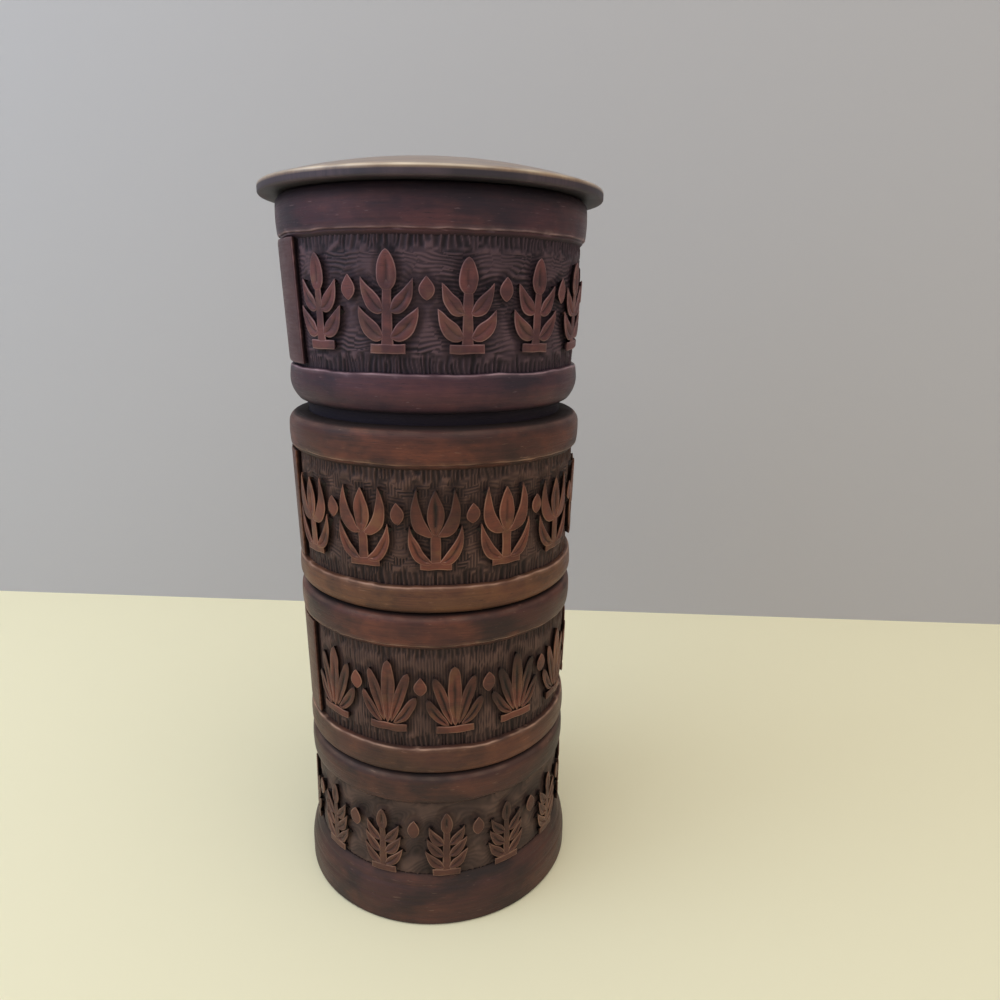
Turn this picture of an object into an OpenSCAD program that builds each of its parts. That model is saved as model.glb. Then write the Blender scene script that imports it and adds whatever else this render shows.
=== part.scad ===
// Spice tower: turned wooden cups that stack by spigots, under an overhanging domed lid.
// The tower stands on z = 0 with its axis on Z, and its front faces -Y. Sizes are in millimetres.

/* [Base tier] */
// Height from the table to the rim
base_h = 43.8; // [38:0.1:60]
// Diameter of the foot at its widest
foot_d = 76.4; // [74:0.1:90]
// Height of the upright edge at the bottom of the foot
foot_edge_h = 4.5; // [2:0.1:6]
// Radius of the curve that draws the foot in to the frieze
foot_sweep = 15.6; // [13:0.1:30]
// Round at the bottom edge of the foot
foot_round = 0.8; // [0.3:0.1:1.5]
// Width of the ring that the foot stands on
foot_ring_w = 7; // [4:0.1:12]
// Depth of the turned hollow under the foot
foot_hollow = 1.5; // [0.5:0.1:3]
// Diameter of the frieze where it meets the foot
base_frieze_d = 70.5; // [68:0.1:73]
// Diameter of the rim band
base_rim_d = 73.2; // [72:0.1:90]
// Height of the rim band
base_rim_h = 8.3; // [6:0.1:12]
// Round on the outer edge of the rim
base_rim_round = 2.2; // [1:0.1:3]
// Place of the plain panel's right edge, in degrees left of the front
base_panel_edge = 92; // [30:0.5:150]

/* [Third tier] */
// Height from the shoulder to the rim
third_h = 43.7; // [38:0.1:60]
// Diameter of the lower band
third_skirt_d = 73.1; // [72:0.1:90]
// Height of the lower band
third_skirt_h = 7.9; // [6:0.1:12]
// Round on the outer edge of the shoulder
third_skirt_round = 2.4; // [1:0.1:3]
// Diameter of the rim band
third_rim_d = 74.4; // [72:0.1:90]
// Height of the rim band
third_rim_h = 7.9; // [6:0.1:12]
// Round on the outer edge of the rim
third_rim_round = 2.2; // [1:0.1:3]
// Place of the plain panel's right edge, in degrees left of the front
third_panel_edge = 61; // [30:0.5:150]

/* [Second tier] */
// Height from the shoulder to the rim
second_h = 44.9; // [38:0.1:60]
// Diameter of the lower band
second_skirt_d = 74.4; // [72:0.1:90]
// Height of the lower band
second_skirt_h = 7.4; // [6:0.1:12]
// Round on the outer edge of the shoulder
second_skirt_round = 3; // [1:0.1:4]
// Diameter of the rim band
second_rim_d = 76.1; // [72:0.1:90]
// Height of the rim band
second_rim_h = 8.4; // [6:0.1:12]
// Round on the outer edge of the rim
second_rim_round = 2.6; // [1:0.1:4.5]
// Place of the plain panel's right edge, in degrees left of the front
second_panel_edge = 68; // [30:0.5:150]

/* [First tier] */
// Height from the shoulder to the rim
first_h = 50.9; // [40:0.1:64]
// Diameter of the lower band
first_skirt_d = 74.3; // [72:0.1:90]
// Height of the lower band and the neck under it
first_skirt_h = 11.8; // [10:0.1:15]
// Diameter of the neck that holds the lower band clear of the tier below
first_neck_d = 66; // [64:0.1:68]
// Height of the neck
first_neck_h = 2.9; // [1:0.1:3.5]
// Radius of the curve that draws the lower band in towards the neck
first_sweep = 9; // [7:0.1:14]
// Height of that curve
first_sweep_h = 5.8; // [3:0.1:6]
// Diameter of the rim band
first_rim_d = 77; // [72:0.1:90]
// Height of the rim band
first_rim_h = 9.4; // [6:0.1:12]
// Round on the outer edge of the rim
first_rim_round = 2; // [1:0.1:3]
// Place of the plain panel's right edge, in degrees left of the front
first_panel_edge = 56.5; // [30:0.5:150]

/* [Lid] */
// Diameter over the overhanging edge
lid_d = 84.4; // [80:0.1:100]
// Thickness at the edge
lid_edge_h = 2.3; // [1.8:0.1:5]
// Rise of the dome from its edge to its middle
lid_dome_h = 6.5; // [3:0.1:10]
// Round on the top edge
lid_edge_round = 0.7; // [0.5:0.1:0.8]
// Round on the bottom edge
lid_under_round = 0.5; // [0.3:0.1:0.6]

/* [Friezes] */
// Depth of the frieze below the bands
frieze_depth = 1.4; // [0.8:0.1:2.5]
// Round on the arris where a band meets its frieze
arris_round = 0.5; // [0.2:0.1:0.6]
// Angle that the plain panel takes of each frieze
panel_span = 36; // [16:1:60]
// Depth of the panel's face below the bands
panel_set_back = 0.3; // [0.1:0.1:0.7]

/* [Carving] */
// Carved plants round each frieze, from one edge of the plain panel to the other
motif_count = 12; // [8:1:13]
// Height of an upper tier's plants above its lower band
motif_rise = 4.4; // [1:0.1:5]
// Height of the base tier's plants above its foot
base_motif_rise = 0.4; // [0.2:0.1:3]
// Height of the bar that each plant stands on
motif_foot_h = 2; // [1:0.1:3]
// Length of the lozenges between the plants
stud_h = 5.2; // [3:0.1:8]
// Width of the lozenges
stud_w = 3.4; // [2:0.1:4]
// Height of the lozenges above the middle of the frieze
stud_rise = 3.2; // [0:0.1:5]

/* [Push fits] */
// Diameter of the spigots
spigot_d = 61.4; // [56:0.1:62]
// Length of the spigots
spigot_h = 7; // [5:0.1:9]
// Chamfer at the end of each spigot
spigot_chamfer = 0.8; // [0.4:0.1:1.5]
// Depth of the turned hollow under each spigot
spigot_hollow = 1.2; // [0.5:0.1:2.5]
// Width of the flat ring round that hollow
spigot_ring_w = 4; // [2:0.1:8]
// Gap round a spigot in its socket
fit_gap = 0.3; // [0.2:0.05:0.5]
// Gap under a seated spigot
end_gap = 0.5; // [0.2:0.1:1]
// Chamfer at the mouth of each socket
mouth_chamfer = 0.6; // [0.3:0.1:1]

/* [Cups] */
// Width of the ledge at the bottom of each socket
ledge_w = 2; // [1:0.1:4]
// Thickness of the floors
floor_t = 7.4; // [5:0.1:10]
// Round at the bottom corner of each cup
cup_round = 4; // [2:0.1:8]

/* [Hidden] */
$fn = 96;
// Sides of the wide circles that only dome or hollow a flat
WIDE = 720;

TIER_BROWN = [0.31, 0.20, 0.17];
LID_BROWN = [0.36, 0.24, 0.19];

// Heights of the seats where the pieces stand on each other
third_z = base_h;
second_z = third_z + third_h;
first_z = second_z + second_h;
lid_z = first_z + first_h;
lid_h = lid_edge_h + lid_dome_h;

// Height where the foot's curve has drawn in to the frieze
foot_flare = max(0, (foot_d - base_frieze_d) / 2);
foot_top = foot_edge_h + sqrt(foot_flare * (2 * foot_sweep - foot_flare));

// The fits that every joint shares
spigot_r = spigot_d / 2;
socket_r = spigot_r + fit_gap;
socket_h = spigot_h + end_gap;
cup_r = socket_r - ledge_w;

// How far a cut runs past the face that it opens
past = 1;

// How far the carving's blocks reach in behind the bands before they are turned to the frieze's ring
carving_root = 5 * frieze_depth;

// Radius of the circle that hollows a flat of radius r to this depth
function hollow_circle(r, depth) = (r * r + depth * depth) / (2 * depth);

// Half section of a straight band with its outer corners rounded, standing on z = 0
module band(r, h, low_round, high_round) {
    translate([0, low_round])
        square([r, h - low_round - high_round]);
    square([r - low_round, low_round]);
    translate([r - low_round, low_round])
        circle(low_round);
    translate([0, h - high_round])
        square([r - high_round, high_round]);
    translate([r - high_round, h - high_round])
        circle(high_round);
}

// Half section of a band on a neck: the band's foot is drawn in by a curve and ends in an edge above the neck
module necked_band(r, h, neck_r, neck_h, sweep, sweep_h, high_round) {
    square([neck_r, h]);
    translate([0, neck_h]) {
        intersection() {
            translate([r - sweep, sweep_h])
                circle(sweep);
            square([r, sweep_h]);
        }
        translate([0, sweep_h])
            square([r, h - neck_h - sweep_h - high_round]);
    }
    translate([0, h - high_round])
        square([r - high_round, high_round]);
    translate([r - high_round, h - high_round])
        circle(high_round);
}

// Half section of a shallow turned hollow in an underside at z = 0
module hollow(r, depth) {
    circle_r = hollow_circle(r, depth);
    translate([0, depth - circle_r])
        circle(circle_r, $fn = WIDE);
}

// Half section of a spigot that hangs below a seat at z = 0
module spigot() {
    difference() {
        polygon([
            [0, -spigot_h],
            [spigot_r - spigot_chamfer, -spigot_h],
            [spigot_r, spigot_chamfer - spigot_h],
            [spigot_r, 0],
            [0, 0],
        ]);
        translate([0, -spigot_h])
            hollow(spigot_r - spigot_ring_w, spigot_hollow);
    }
}

// Half section of the space inside a tier: the cup, the socket above it and the socket's eased mouth
module cup(floor_z, rim_z) {
    translate([0, floor_z + cup_round])
        square([cup_r, rim_z - floor_z - cup_round]);
    translate([0, floor_z])
        square([cup_r - cup_round, cup_round]);
    translate([cup_r - cup_round, floor_z + cup_round])
        intersection() {
            circle(cup_round);
            translate([0, -cup_round])
                square([cup_round, 2 * cup_round]);
        }
    translate([0, rim_z - socket_h])
        square([socket_r, socket_h + past]);
    polygon([
        [0, rim_z - mouth_chamfer],
        [socket_r, rim_z - mouth_chamfer],
        [socket_r + mouth_chamfer + past, rim_z + past],
        [0, rim_z + past],
    ]);
}

// Half section of a frieze wall that leans from its lower to its upper radius
module frieze(low_r, low_z, high_r, high_z) {
    polygon([
        [0, low_z],
        [low_r, low_z],
        [high_r, high_z],
        [0, high_z],
    ]);
}

// Half section of what stands raised in a frieze, from the radius of the lower band to that of the rim band
module raised(low_r, low_z, high_r, high_z) {
    polygon([
        [low_r - 2 * frieze_depth, low_z],
        [low_r - panel_set_back, low_z],
        [high_r - panel_set_back, high_z],
        [high_r - 2 * frieze_depth, high_z],
    ]);
}

// The plain panel that interrupts a frieze
module panel(edge, low_r, low_z, high_r, high_z) {
    right_edge = 270 - edge;
    rotate([0, 0, right_edge - panel_span])
        rotate_extrude(angle = panel_span)
            raised(low_r, low_z, high_r, high_z);
}

// A leaf, drawn flat: it starts at its base, bends towards a point and ends at its tip
module leaf(base, bend, tip, width) {
    run = tip - base;
    belly = (base + 2 * bend + tip) / 4;
    side = [run.y, -run.x] * width / (2 * norm(run));
    polygon([base, belly + side, tip, belly - side]);
}

// A leaf that stands upright on the middle line
module bud(low, high, width) {
    leaf([0, low], [0, (low + high) / 2], [0, high], width);
}

// A leaf and its mirror image
module leaves(base, bend, tip, width) {
    leaf(base, bend, tip, width);
    mirror([1, 0])
        leaf(base, bend, tip, width);
}

// A plant's tapered stem and the bar that it stands on
module stem(h, low_w, high_w, foot_w) {
    polygon([[-low_w / 2, 0], [low_w / 2, 0], [high_w / 2, h], [-high_w / 2, h]]);
    translate([-foot_w / 2, 0])
        square([foot_w, motif_foot_h]);
}

// The first tier's plant: two pairs of leaves under a bud
module sprig() {
    stem(14.5, 2.7, 2, 7.8);
    bud(12.4, 20.4, 5);
    leaves([0.7, 3.4], [4.2, 3.8], [6.6, 9.4], 3.7);
    leaves([0.6, 8.6], [3.6, 9.2], [5.7, 15], 3.4);
}

// The second tier's plant: a flower of three petals over a pair of leaves
module tulip() {
    stem(10.5, 2.7, 2.3, 7.8);
    bud(8, 19, 4.2);
    leaves([0.3, 8.2], [6.2, 9.4], [4.6, 19.4], 3.3);
    leaves([0.7, 1.6], [5.6, 2.2], [6.5, 10.6], 3);
}

// The third tier's plant: a fan of five leaves
module palmette() {
    stem(4, 4, 2.6, 9.6);
    bud(2, 18.8, 4);
    leaves([0.9, 2.4], [2.6, 8.6], [5.2, 15.8], 3.3);
    leaves([1.5, 2.2], [4.6, 3.8], [7.1, 9.6], 3.1);
}

// The base tier's plant: an ear with three pairs of leaves
module ear() {
    stem(15, 2.3, 1.6, 7.2);
    bud(12.6, 18.6, 3.6);
    for (leaf_at = [[2.4, 5.6], [6, 5.2], [9.4, 4.7]]) {
        low = leaf_at[0];
        reach = leaf_at[1];
        leaves([0.5, low], [3, low + 0.6], [reach, low + 5.2], 2.7);
    }
}

// A flat drawing as a block that comes out through a frieze at an angle right of the front
module carved(angle, z, reach) {
    rotate([0, 0, angle])
        translate([0, carving_root - reach, z])
            rotate([90, 0, 0])
                linear_extrude(carving_root)
                    children();
}

// The carving of a frieze: the plant given as a child, repeated from one edge of the panel to the other, and
// lozenges between
module carving(edge, low_r, low_z, high_r, high_z, foot_z) {
    turn = (360 - panel_span) / motif_count;
    reach = max(low_r, high_r);
    stud_z = (low_z + high_z) / 2 + stud_rise;
    intersection() {
        rotate_extrude()
            raised(low_r, low_z, high_r, high_z);
        union() {
            for (i = [0 : motif_count - 1])
                carved(turn * (i + 0.5) - edge, foot_z, reach)
                    children();
            for (i = [1 : motif_count - 1])
                carved(turn * i - edge, stud_z, reach)
                    bud(-stud_h / 2, stud_h / 2, stud_w);
        }
    }
}

// An upper tier on its seat at z = 0: the lower band and the frieze's plant given as children, a rim band, a
// spigot below and a cup inside
module tier(h, skirt_r, skirt_h, rim_r, rim_h, rim_round, panel_edge) {
    rotate_extrude()
        difference() {
            union() {
                children(0);
                frieze(skirt_r - frieze_depth, skirt_h - arris_round,
                    rim_r - frieze_depth, h - rim_h + arris_round);
                translate([0, h - rim_h])
                    band(rim_r, rim_h, arris_round, rim_round);
                spigot();
            }
            cup(floor_t - spigot_h, h);
        }
    panel(panel_edge, skirt_r, skirt_h - arris_round, rim_r, h - rim_h + arris_round);
    carving(panel_edge, skirt_r, skirt_h, rim_r, h - rim_h, skirt_h + motif_rise)
        children(1);
}

// Half section of the foot: an upright edge under a curve that draws in to the frieze
module foot(r) {
    band(r, foot_edge_h, foot_round, foot_round);
    translate([0, foot_round])
        square([r, foot_edge_h - foot_round]);
    intersection() {
        translate([r - foot_sweep, foot_edge_h])
            circle(foot_sweep);
        translate([0, foot_edge_h])
            square([r, foot_sweep]);
    }
}

module base_tier() {
    foot_r = foot_d / 2;
    rim_r = base_rim_d / 2;
    rim_z = base_h - base_rim_h;
    low_r = base_frieze_d / 2;
    color(TIER_BROWN) {
        rotate_extrude()
            difference() {
                union() {
                    foot(foot_r);
                    square([low_r, foot_top]);
                    frieze(low_r, foot_top, rim_r - frieze_depth, rim_z + arris_round);
                    translate([0, rim_z])
                        band(rim_r, base_rim_h, arris_round, base_rim_round);
                }
                hollow(foot_r - foot_ring_w, foot_hollow);
                cup(floor_t, base_h);
            }
        panel(base_panel_edge, low_r + frieze_depth, foot_edge_h, rim_r, rim_z + arris_round);
        carving(base_panel_edge, low_r + frieze_depth, foot_top, rim_r, rim_z, foot_top + base_motif_rise)
            ear();
    }
}

module third_tier() {
    skirt_r = third_skirt_d / 2;
    color(TIER_BROWN)
        translate([0, 0, third_z])
            tier(third_h, skirt_r, third_skirt_h, third_rim_d / 2, third_rim_h, third_rim_round,
                third_panel_edge) {
                band(skirt_r, third_skirt_h, third_skirt_round, arris_round);
                palmette();
            }
}

module second_tier() {
    skirt_r = second_skirt_d / 2;
    color(TIER_BROWN)
        translate([0, 0, second_z])
            tier(second_h, skirt_r, second_skirt_h, second_rim_d / 2, second_rim_h, second_rim_round,
                second_panel_edge) {
                band(skirt_r, second_skirt_h, second_skirt_round, arris_round);
                tulip();
            }
}

module first_tier() {
    skirt_r = first_skirt_d / 2;
    color(TIER_BROWN)
        translate([0, 0, first_z])
            tier(first_h, skirt_r, first_skirt_h, first_rim_d / 2, first_rim_h, first_rim_round,
                first_panel_edge) {
                necked_band(skirt_r, first_skirt_h, first_neck_d / 2, first_neck_h, first_sweep, first_sweep_h,
                    arris_round);
                sprig();
            }
}

// Half section of the lid's overhanging plate: a flat underside, a thin rounded edge and a domed top
module lid_plate() {
    lid_r = lid_d / 2;
    dome_r = hollow_circle(lid_r, lid_dome_h);
    dome_z = lid_h - dome_r;
    // The top edge's round touches both the upright edge and the dome
    round_r = lid_r - lid_edge_round;
    reach = dome_r - lid_edge_round;
    round_z = dome_z + sqrt(reach * reach - round_r * round_r);
    touch = dome_r / reach;
    intersection() {
        translate([0, dome_z])
            circle(dome_r, $fn = WIDE);
        polygon([
            [0, 0],
            [round_r, 0],
            [round_r, round_z],
            [round_r * touch, dome_z + (round_z - dome_z) * touch],
            [0, lid_h + past],
        ]);
    }
    translate([round_r, round_z])
        circle(lid_edge_round);
    band(lid_r, round_z, lid_under_round, lid_under_round);
    translate([0, lid_under_round])
        square([lid_r, round_z - lid_under_round]);
}

module lid() {
    color(LID_BROWN)
        translate([0, 0, lid_z])
            rotate_extrude() {
                lid_plate();
                spigot();
            }
}

base_tier();
third_tier();
second_tier();
first_tier();
lid();
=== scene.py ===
"""Visual model of a stacking spice tower: turned cups with carved friezes under a thin domed lid."""

import logging
import math
from collections.abc import Iterator, Sequence
from contextlib import contextmanager
from dataclasses import dataclass
from enum import Enum
from typing import Protocol

import bpy
import numpy as np
from mathutils import Matrix, Vector
from mathutils.kdtree import KDTree


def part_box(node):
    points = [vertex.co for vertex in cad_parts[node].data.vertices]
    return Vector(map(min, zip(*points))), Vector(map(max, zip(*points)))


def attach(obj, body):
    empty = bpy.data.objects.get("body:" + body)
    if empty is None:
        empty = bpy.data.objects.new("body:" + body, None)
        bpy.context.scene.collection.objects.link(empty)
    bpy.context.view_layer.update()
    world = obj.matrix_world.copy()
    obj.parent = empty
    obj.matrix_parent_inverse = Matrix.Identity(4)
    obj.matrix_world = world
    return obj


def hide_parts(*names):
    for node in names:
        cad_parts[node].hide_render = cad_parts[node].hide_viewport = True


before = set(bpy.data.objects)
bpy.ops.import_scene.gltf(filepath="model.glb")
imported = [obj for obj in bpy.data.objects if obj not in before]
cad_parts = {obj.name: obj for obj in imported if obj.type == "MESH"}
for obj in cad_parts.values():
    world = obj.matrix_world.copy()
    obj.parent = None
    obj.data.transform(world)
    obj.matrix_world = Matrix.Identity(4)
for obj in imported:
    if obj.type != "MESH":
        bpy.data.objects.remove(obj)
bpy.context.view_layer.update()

log = logging.getLogger("spice_tower")

MM = 0.001
WELD = 0.002 * MM
SMOOTH_ANGLE = 35

Colour = tuple[float, float, float]
Point = tuple[float, float]
Place = tuple[float, float, float]
Array = np.ndarray
Piece = bpy.types.Object


class Finish(Protocol):
    """Anything that a piece can be dressed in."""

    def material(self) -> bpy.types.Material:
        """Build the finish."""


class Bench:
    """Modelling by hand with Blender's operators, one new object at a time."""

    @staticmethod
    def only(piece: Piece) -> None:
        """Make a piece the only selected object and the active one."""
        bpy.ops.object.select_all(action="DESELECT")
        piece.select_set(True)
        bpy.context.view_layer.objects.active = piece

    @staticmethod
    def drawn(name: str, section: Sequence[Point]) -> Piece:
        """Draw a half section as a chain of edges, and stay in edit mode.

        Args:
            name: The piece's name.
            section: Radius and height of each point, along the section.

        Returns:
            The section, in the plane of X and Z.
        """
        bpy.ops.object.select_all(action="DESELECT")
        bpy.ops.mesh.primitive_plane_add(size=MM)
        piece = bpy.context.active_object
        piece.name = piece.data.name = name
        bpy.ops.object.mode_set(mode="EDIT")
        bpy.ops.mesh.merge(type="CENTER")
        bpy.ops.transform.translate(value=(section[0][0], 0, section[0][1]))
        for (r_from, z_from), (r_to, z_to) in zip(section, section[1:]):
            step = (r_to - r_from, 0, z_to - z_from)
            bpy.ops.mesh.extrude_region_move(TRANSFORM_OT_translate={"value": step})
        bpy.ops.mesh.select_all(action="SELECT")
        return piece

    @staticmethod
    def close() -> None:
        """Merge a turned mesh's seam and poles, turn its faces outwards and leave edit mode."""
        bpy.ops.mesh.select_all(action="SELECT")
        bpy.ops.mesh.remove_doubles(threshold=WELD)
        bpy.ops.mesh.normals_make_consistent(inside=False)
        bpy.ops.object.mode_set(mode="OBJECT")

    @classmethod
    def turned(cls, name: str, section: Sequence[Point], steps: int) -> Piece:
        """Turn a half section round the Z axis into a closed piece of so many columns of faces."""
        piece = cls.drawn(name, section)
        bpy.ops.mesh.spin(steps=steps, angle=math.tau, center=(0, 0, 0), axis=(0, 0, 1))
        cls.close()
        return piece

    @classmethod
    def finely_turned(cls, name: str, section: Sequence[Point], steps: int) -> Piece:
        """Turn a half section as turned does, by a modifier that stays quick with many columns."""
        piece = cls.drawn(name, section)
        bpy.ops.object.mode_set(mode="OBJECT")
        turn = piece.modifiers.new("turn", "SCREW")
        turn.axis = "Z"
        turn.angle = math.tau
        turn.steps = turn.render_steps = steps
        bpy.ops.object.modifier_apply(modifier=turn.name)
        bpy.ops.object.mode_set(mode="EDIT")
        cls.close()
        return piece

    @staticmethod
    def slip(name: str, along: int, across: int) -> Piece:
        """Add a flat slip of faces, one unit long and one wide, to be shaped.

        Args:
            name: The slip's name.
            along: Faces along X.
            across: Faces along Y.

        Returns:
            The slip, centred on the origin.
        """
        bpy.ops.object.select_all(action="DESELECT")
        bpy.ops.mesh.primitive_grid_add(x_subdivisions=along, y_subdivisions=across, size=1)
        piece = bpy.context.active_object
        piece.name = piece.data.name = name
        return piece

    @classmethod
    @contextmanager
    def editing(cls, piece: Piece) -> Iterator[None]:
        """Hold a piece in edit mode with all of it selected."""
        cls.only(piece)
        bpy.ops.object.mode_set(mode="EDIT")
        bpy.ops.mesh.select_all(action="SELECT")
        yield
        bpy.ops.object.mode_set(mode="OBJECT")

    @classmethod
    def weld(cls, piece: Piece) -> None:
        """Merge a piece's doubled points and drop the faces that closed up."""
        with cls.editing(piece):
            bpy.ops.mesh.remove_doubles(threshold=WELD)
            bpy.ops.mesh.dissolve_degenerate(threshold=WELD)

    @classmethod
    def turn_over(cls, piece: Piece) -> None:
        """Turn a piece's faces over."""
        with cls.editing(piece):
            bpy.ops.mesh.flip_normals()

    @classmethod
    def joined(cls, name: str, pieces: Sequence[Piece]) -> Piece:
        """Join pieces into the first of them, under a new name."""
        cls.only(pieces[0])
        for piece in pieces:
            piece.select_set(True)
        if len(pieces) > 1:
            bpy.ops.object.join()
        pieces[0].name = pieces[0].data.name = name
        return pieces[0]

    @classmethod
    def copied(cls, piece: Piece) -> Piece:
        """Copy a piece together with its mesh."""
        cls.only(piece)
        bpy.ops.object.duplicate(linked=False)
        return bpy.context.active_object

    @classmethod
    def thickened(cls, piece: Piece, depth: float) -> None:
        """Give a sheet its depth behind its face."""
        cls.only(piece)
        wall = piece.modifiers.new("depth", "SOLIDIFY")
        wall.thickness = depth
        wall.offset = -1
        bpy.ops.object.modifier_apply(modifier=wall.name)

    @classmethod
    def dress(cls, piece: Piece, degrees: float, *finishes: Finish) -> None:
        """Shade a piece smooth up to an angle between its faces, and give it its finishes."""
        cls.only(piece)
        bpy.ops.object.shade_smooth_by_angle(angle=math.radians(degrees))
        for finish in finishes:
            piece.data.materials.append(finish.material())


class Points:
    """A mesh's points as arrays, also read as radius, azimuth and height round the tower's axis."""

    def __init__(self, piece: Piece) -> None:
        """Read the points of a piece's mesh."""
        self.mesh = piece.data
        flat = np.empty(len(self.mesh.vertices) * 3)
        self.mesh.vertices.foreach_get("co", flat)
        self.at = flat.reshape(-1, 3)

    @property
    def radius(self) -> Array:
        """Distance of each point from the axis."""
        return np.hypot(self.at[:, 0], self.at[:, 1])

    @property
    def azimuth(self) -> Array:
        """Angle of each point from the front, towards +X."""
        return np.arctan2(self.at[:, 0], -self.at[:, 1])

    @property
    def height(self) -> Array:
        """Height of each point."""
        return self.at[:, 2]

    @property
    def polar(self) -> tuple[Array, Array, Array]:
        """Radius, azimuth and height of each point."""
        return self.radius, self.azimuth, self.height

    def place(self, radius: Array, azimuth: Array, height: Array) -> None:
        """Move every point to a radius, azimuth and height."""
        self.at = np.column_stack((radius * np.sin(azimuth), -radius * np.cos(azimuth), height))
        self.write()

    def write(self) -> None:
        """Put the points back into the mesh."""
        self.mesh.vertices.foreach_set("co", self.at.ravel())
        self.mesh.update()

    def mark(self, name: str, values: Array) -> None:
        """Keep a value for each point, held between 0 and 1, where a finish can read it."""
        layer = self.mesh.attributes.new(name, "FLOAT", "POINT")
        layer.data.foreach_set("value", np.clip(values, 0, 1).astype(np.float32))


class Waves:
    """A smooth random field on the tower's wall that closes on itself round the axis."""

    def __init__(self, seed: int, turns: int, length: float, count: int = 24) -> None:
        """Draw the waves of the field.

        Args:
            seed: Seed of the draw.
            turns: Most waves that go round the tower.
            length: Typical wavelength upwards.
            count: How many waves are summed.
        """
        rng = np.random.default_rng(seed)
        self.turns = rng.integers(1, turns + 1, count)
        self.rise = rng.normal(0, math.tau / length, count)
        self.phase = rng.uniform(0, math.tau, count)

    def __call__(self, azimuth: Array, height: Array) -> Array:
        """Give the field at each point, mostly between -1 and 1."""
        total = np.zeros_like(azimuth)
        for turns, rise, phase in zip(self.turns, self.rise, self.phase):
            total += np.cos(turns * azimuth + rise * height + phase)
        return total / math.sqrt(len(self.turns))


def step_up(values: Array, low: float | Array, high: float | Array) -> Array:
    """Rise smoothly from 0 at one value to 1 at another."""
    share = np.clip((values - low) / (high - low), 0, 1)
    return share * share * (3 - 2 * share)


def step_down(values: Array, low: float | Array, high: float | Array) -> Array:
    """Fall smoothly from 1 at one value to 0 at another."""
    return step_up(-values, -high, -low)


def ridge(values: Array, centre: float, width: float) -> Array:
    """Rise to 1 at a centre and fall to nearly 0 a few widths away."""
    return np.exp(-(((values - centre) / width) ** 2))


def tinted(tint: Colour, *colours: Colour) -> list[Colour]:
    """Multiply colours by a tint, channel by channel."""
    return [tuple(channel * share for channel, share in zip(colour, tint)) for colour in colours]


class Value:
    """A socket that carries a number; arithmetic on it adds Math nodes."""

    def __init__(self, tree: "Tree", socket: bpy.types.NodeSocket) -> None:
        """Wrap a socket of a tree."""
        self.tree = tree
        self.socket = socket

    def _math(self, operation: str, first: object, second: object) -> "Value":
        """Add a Math node for one operation."""
        node = self.tree.node("ShaderNodeMath", {"operation": operation}, {0: first, 1: second})
        return Value(self.tree, node.outputs[0])

    def __add__(self, other: "Value | float") -> "Value":
        """Add."""
        return self._math("ADD", self, other)

    __radd__ = __add__

    def __sub__(self, other: "Value | float") -> "Value":
        """Subtract."""
        return self._math("SUBTRACT", self, other)

    def __rsub__(self, other: "Value | float") -> "Value":
        """Subtract this from another."""
        return self._math("SUBTRACT", other, self)

    def __mul__(self, other: "Value | float") -> "Value":
        """Multiply."""
        return self._math("MULTIPLY", self, other)

    __rmul__ = __mul__

    def ramp(self, low: float, high: float) -> "Value":
        """Spread a stretch of values smoothly over 0 to 1."""
        settings = {"interpolation_type": "SMOOTHSTEP"}
        inputs = {"Value": self, "From Min": low, "From Max": high}
        return Value(self.tree, self.tree.node("ShaderNodeMapRange", settings, inputs).outputs[0])


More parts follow.
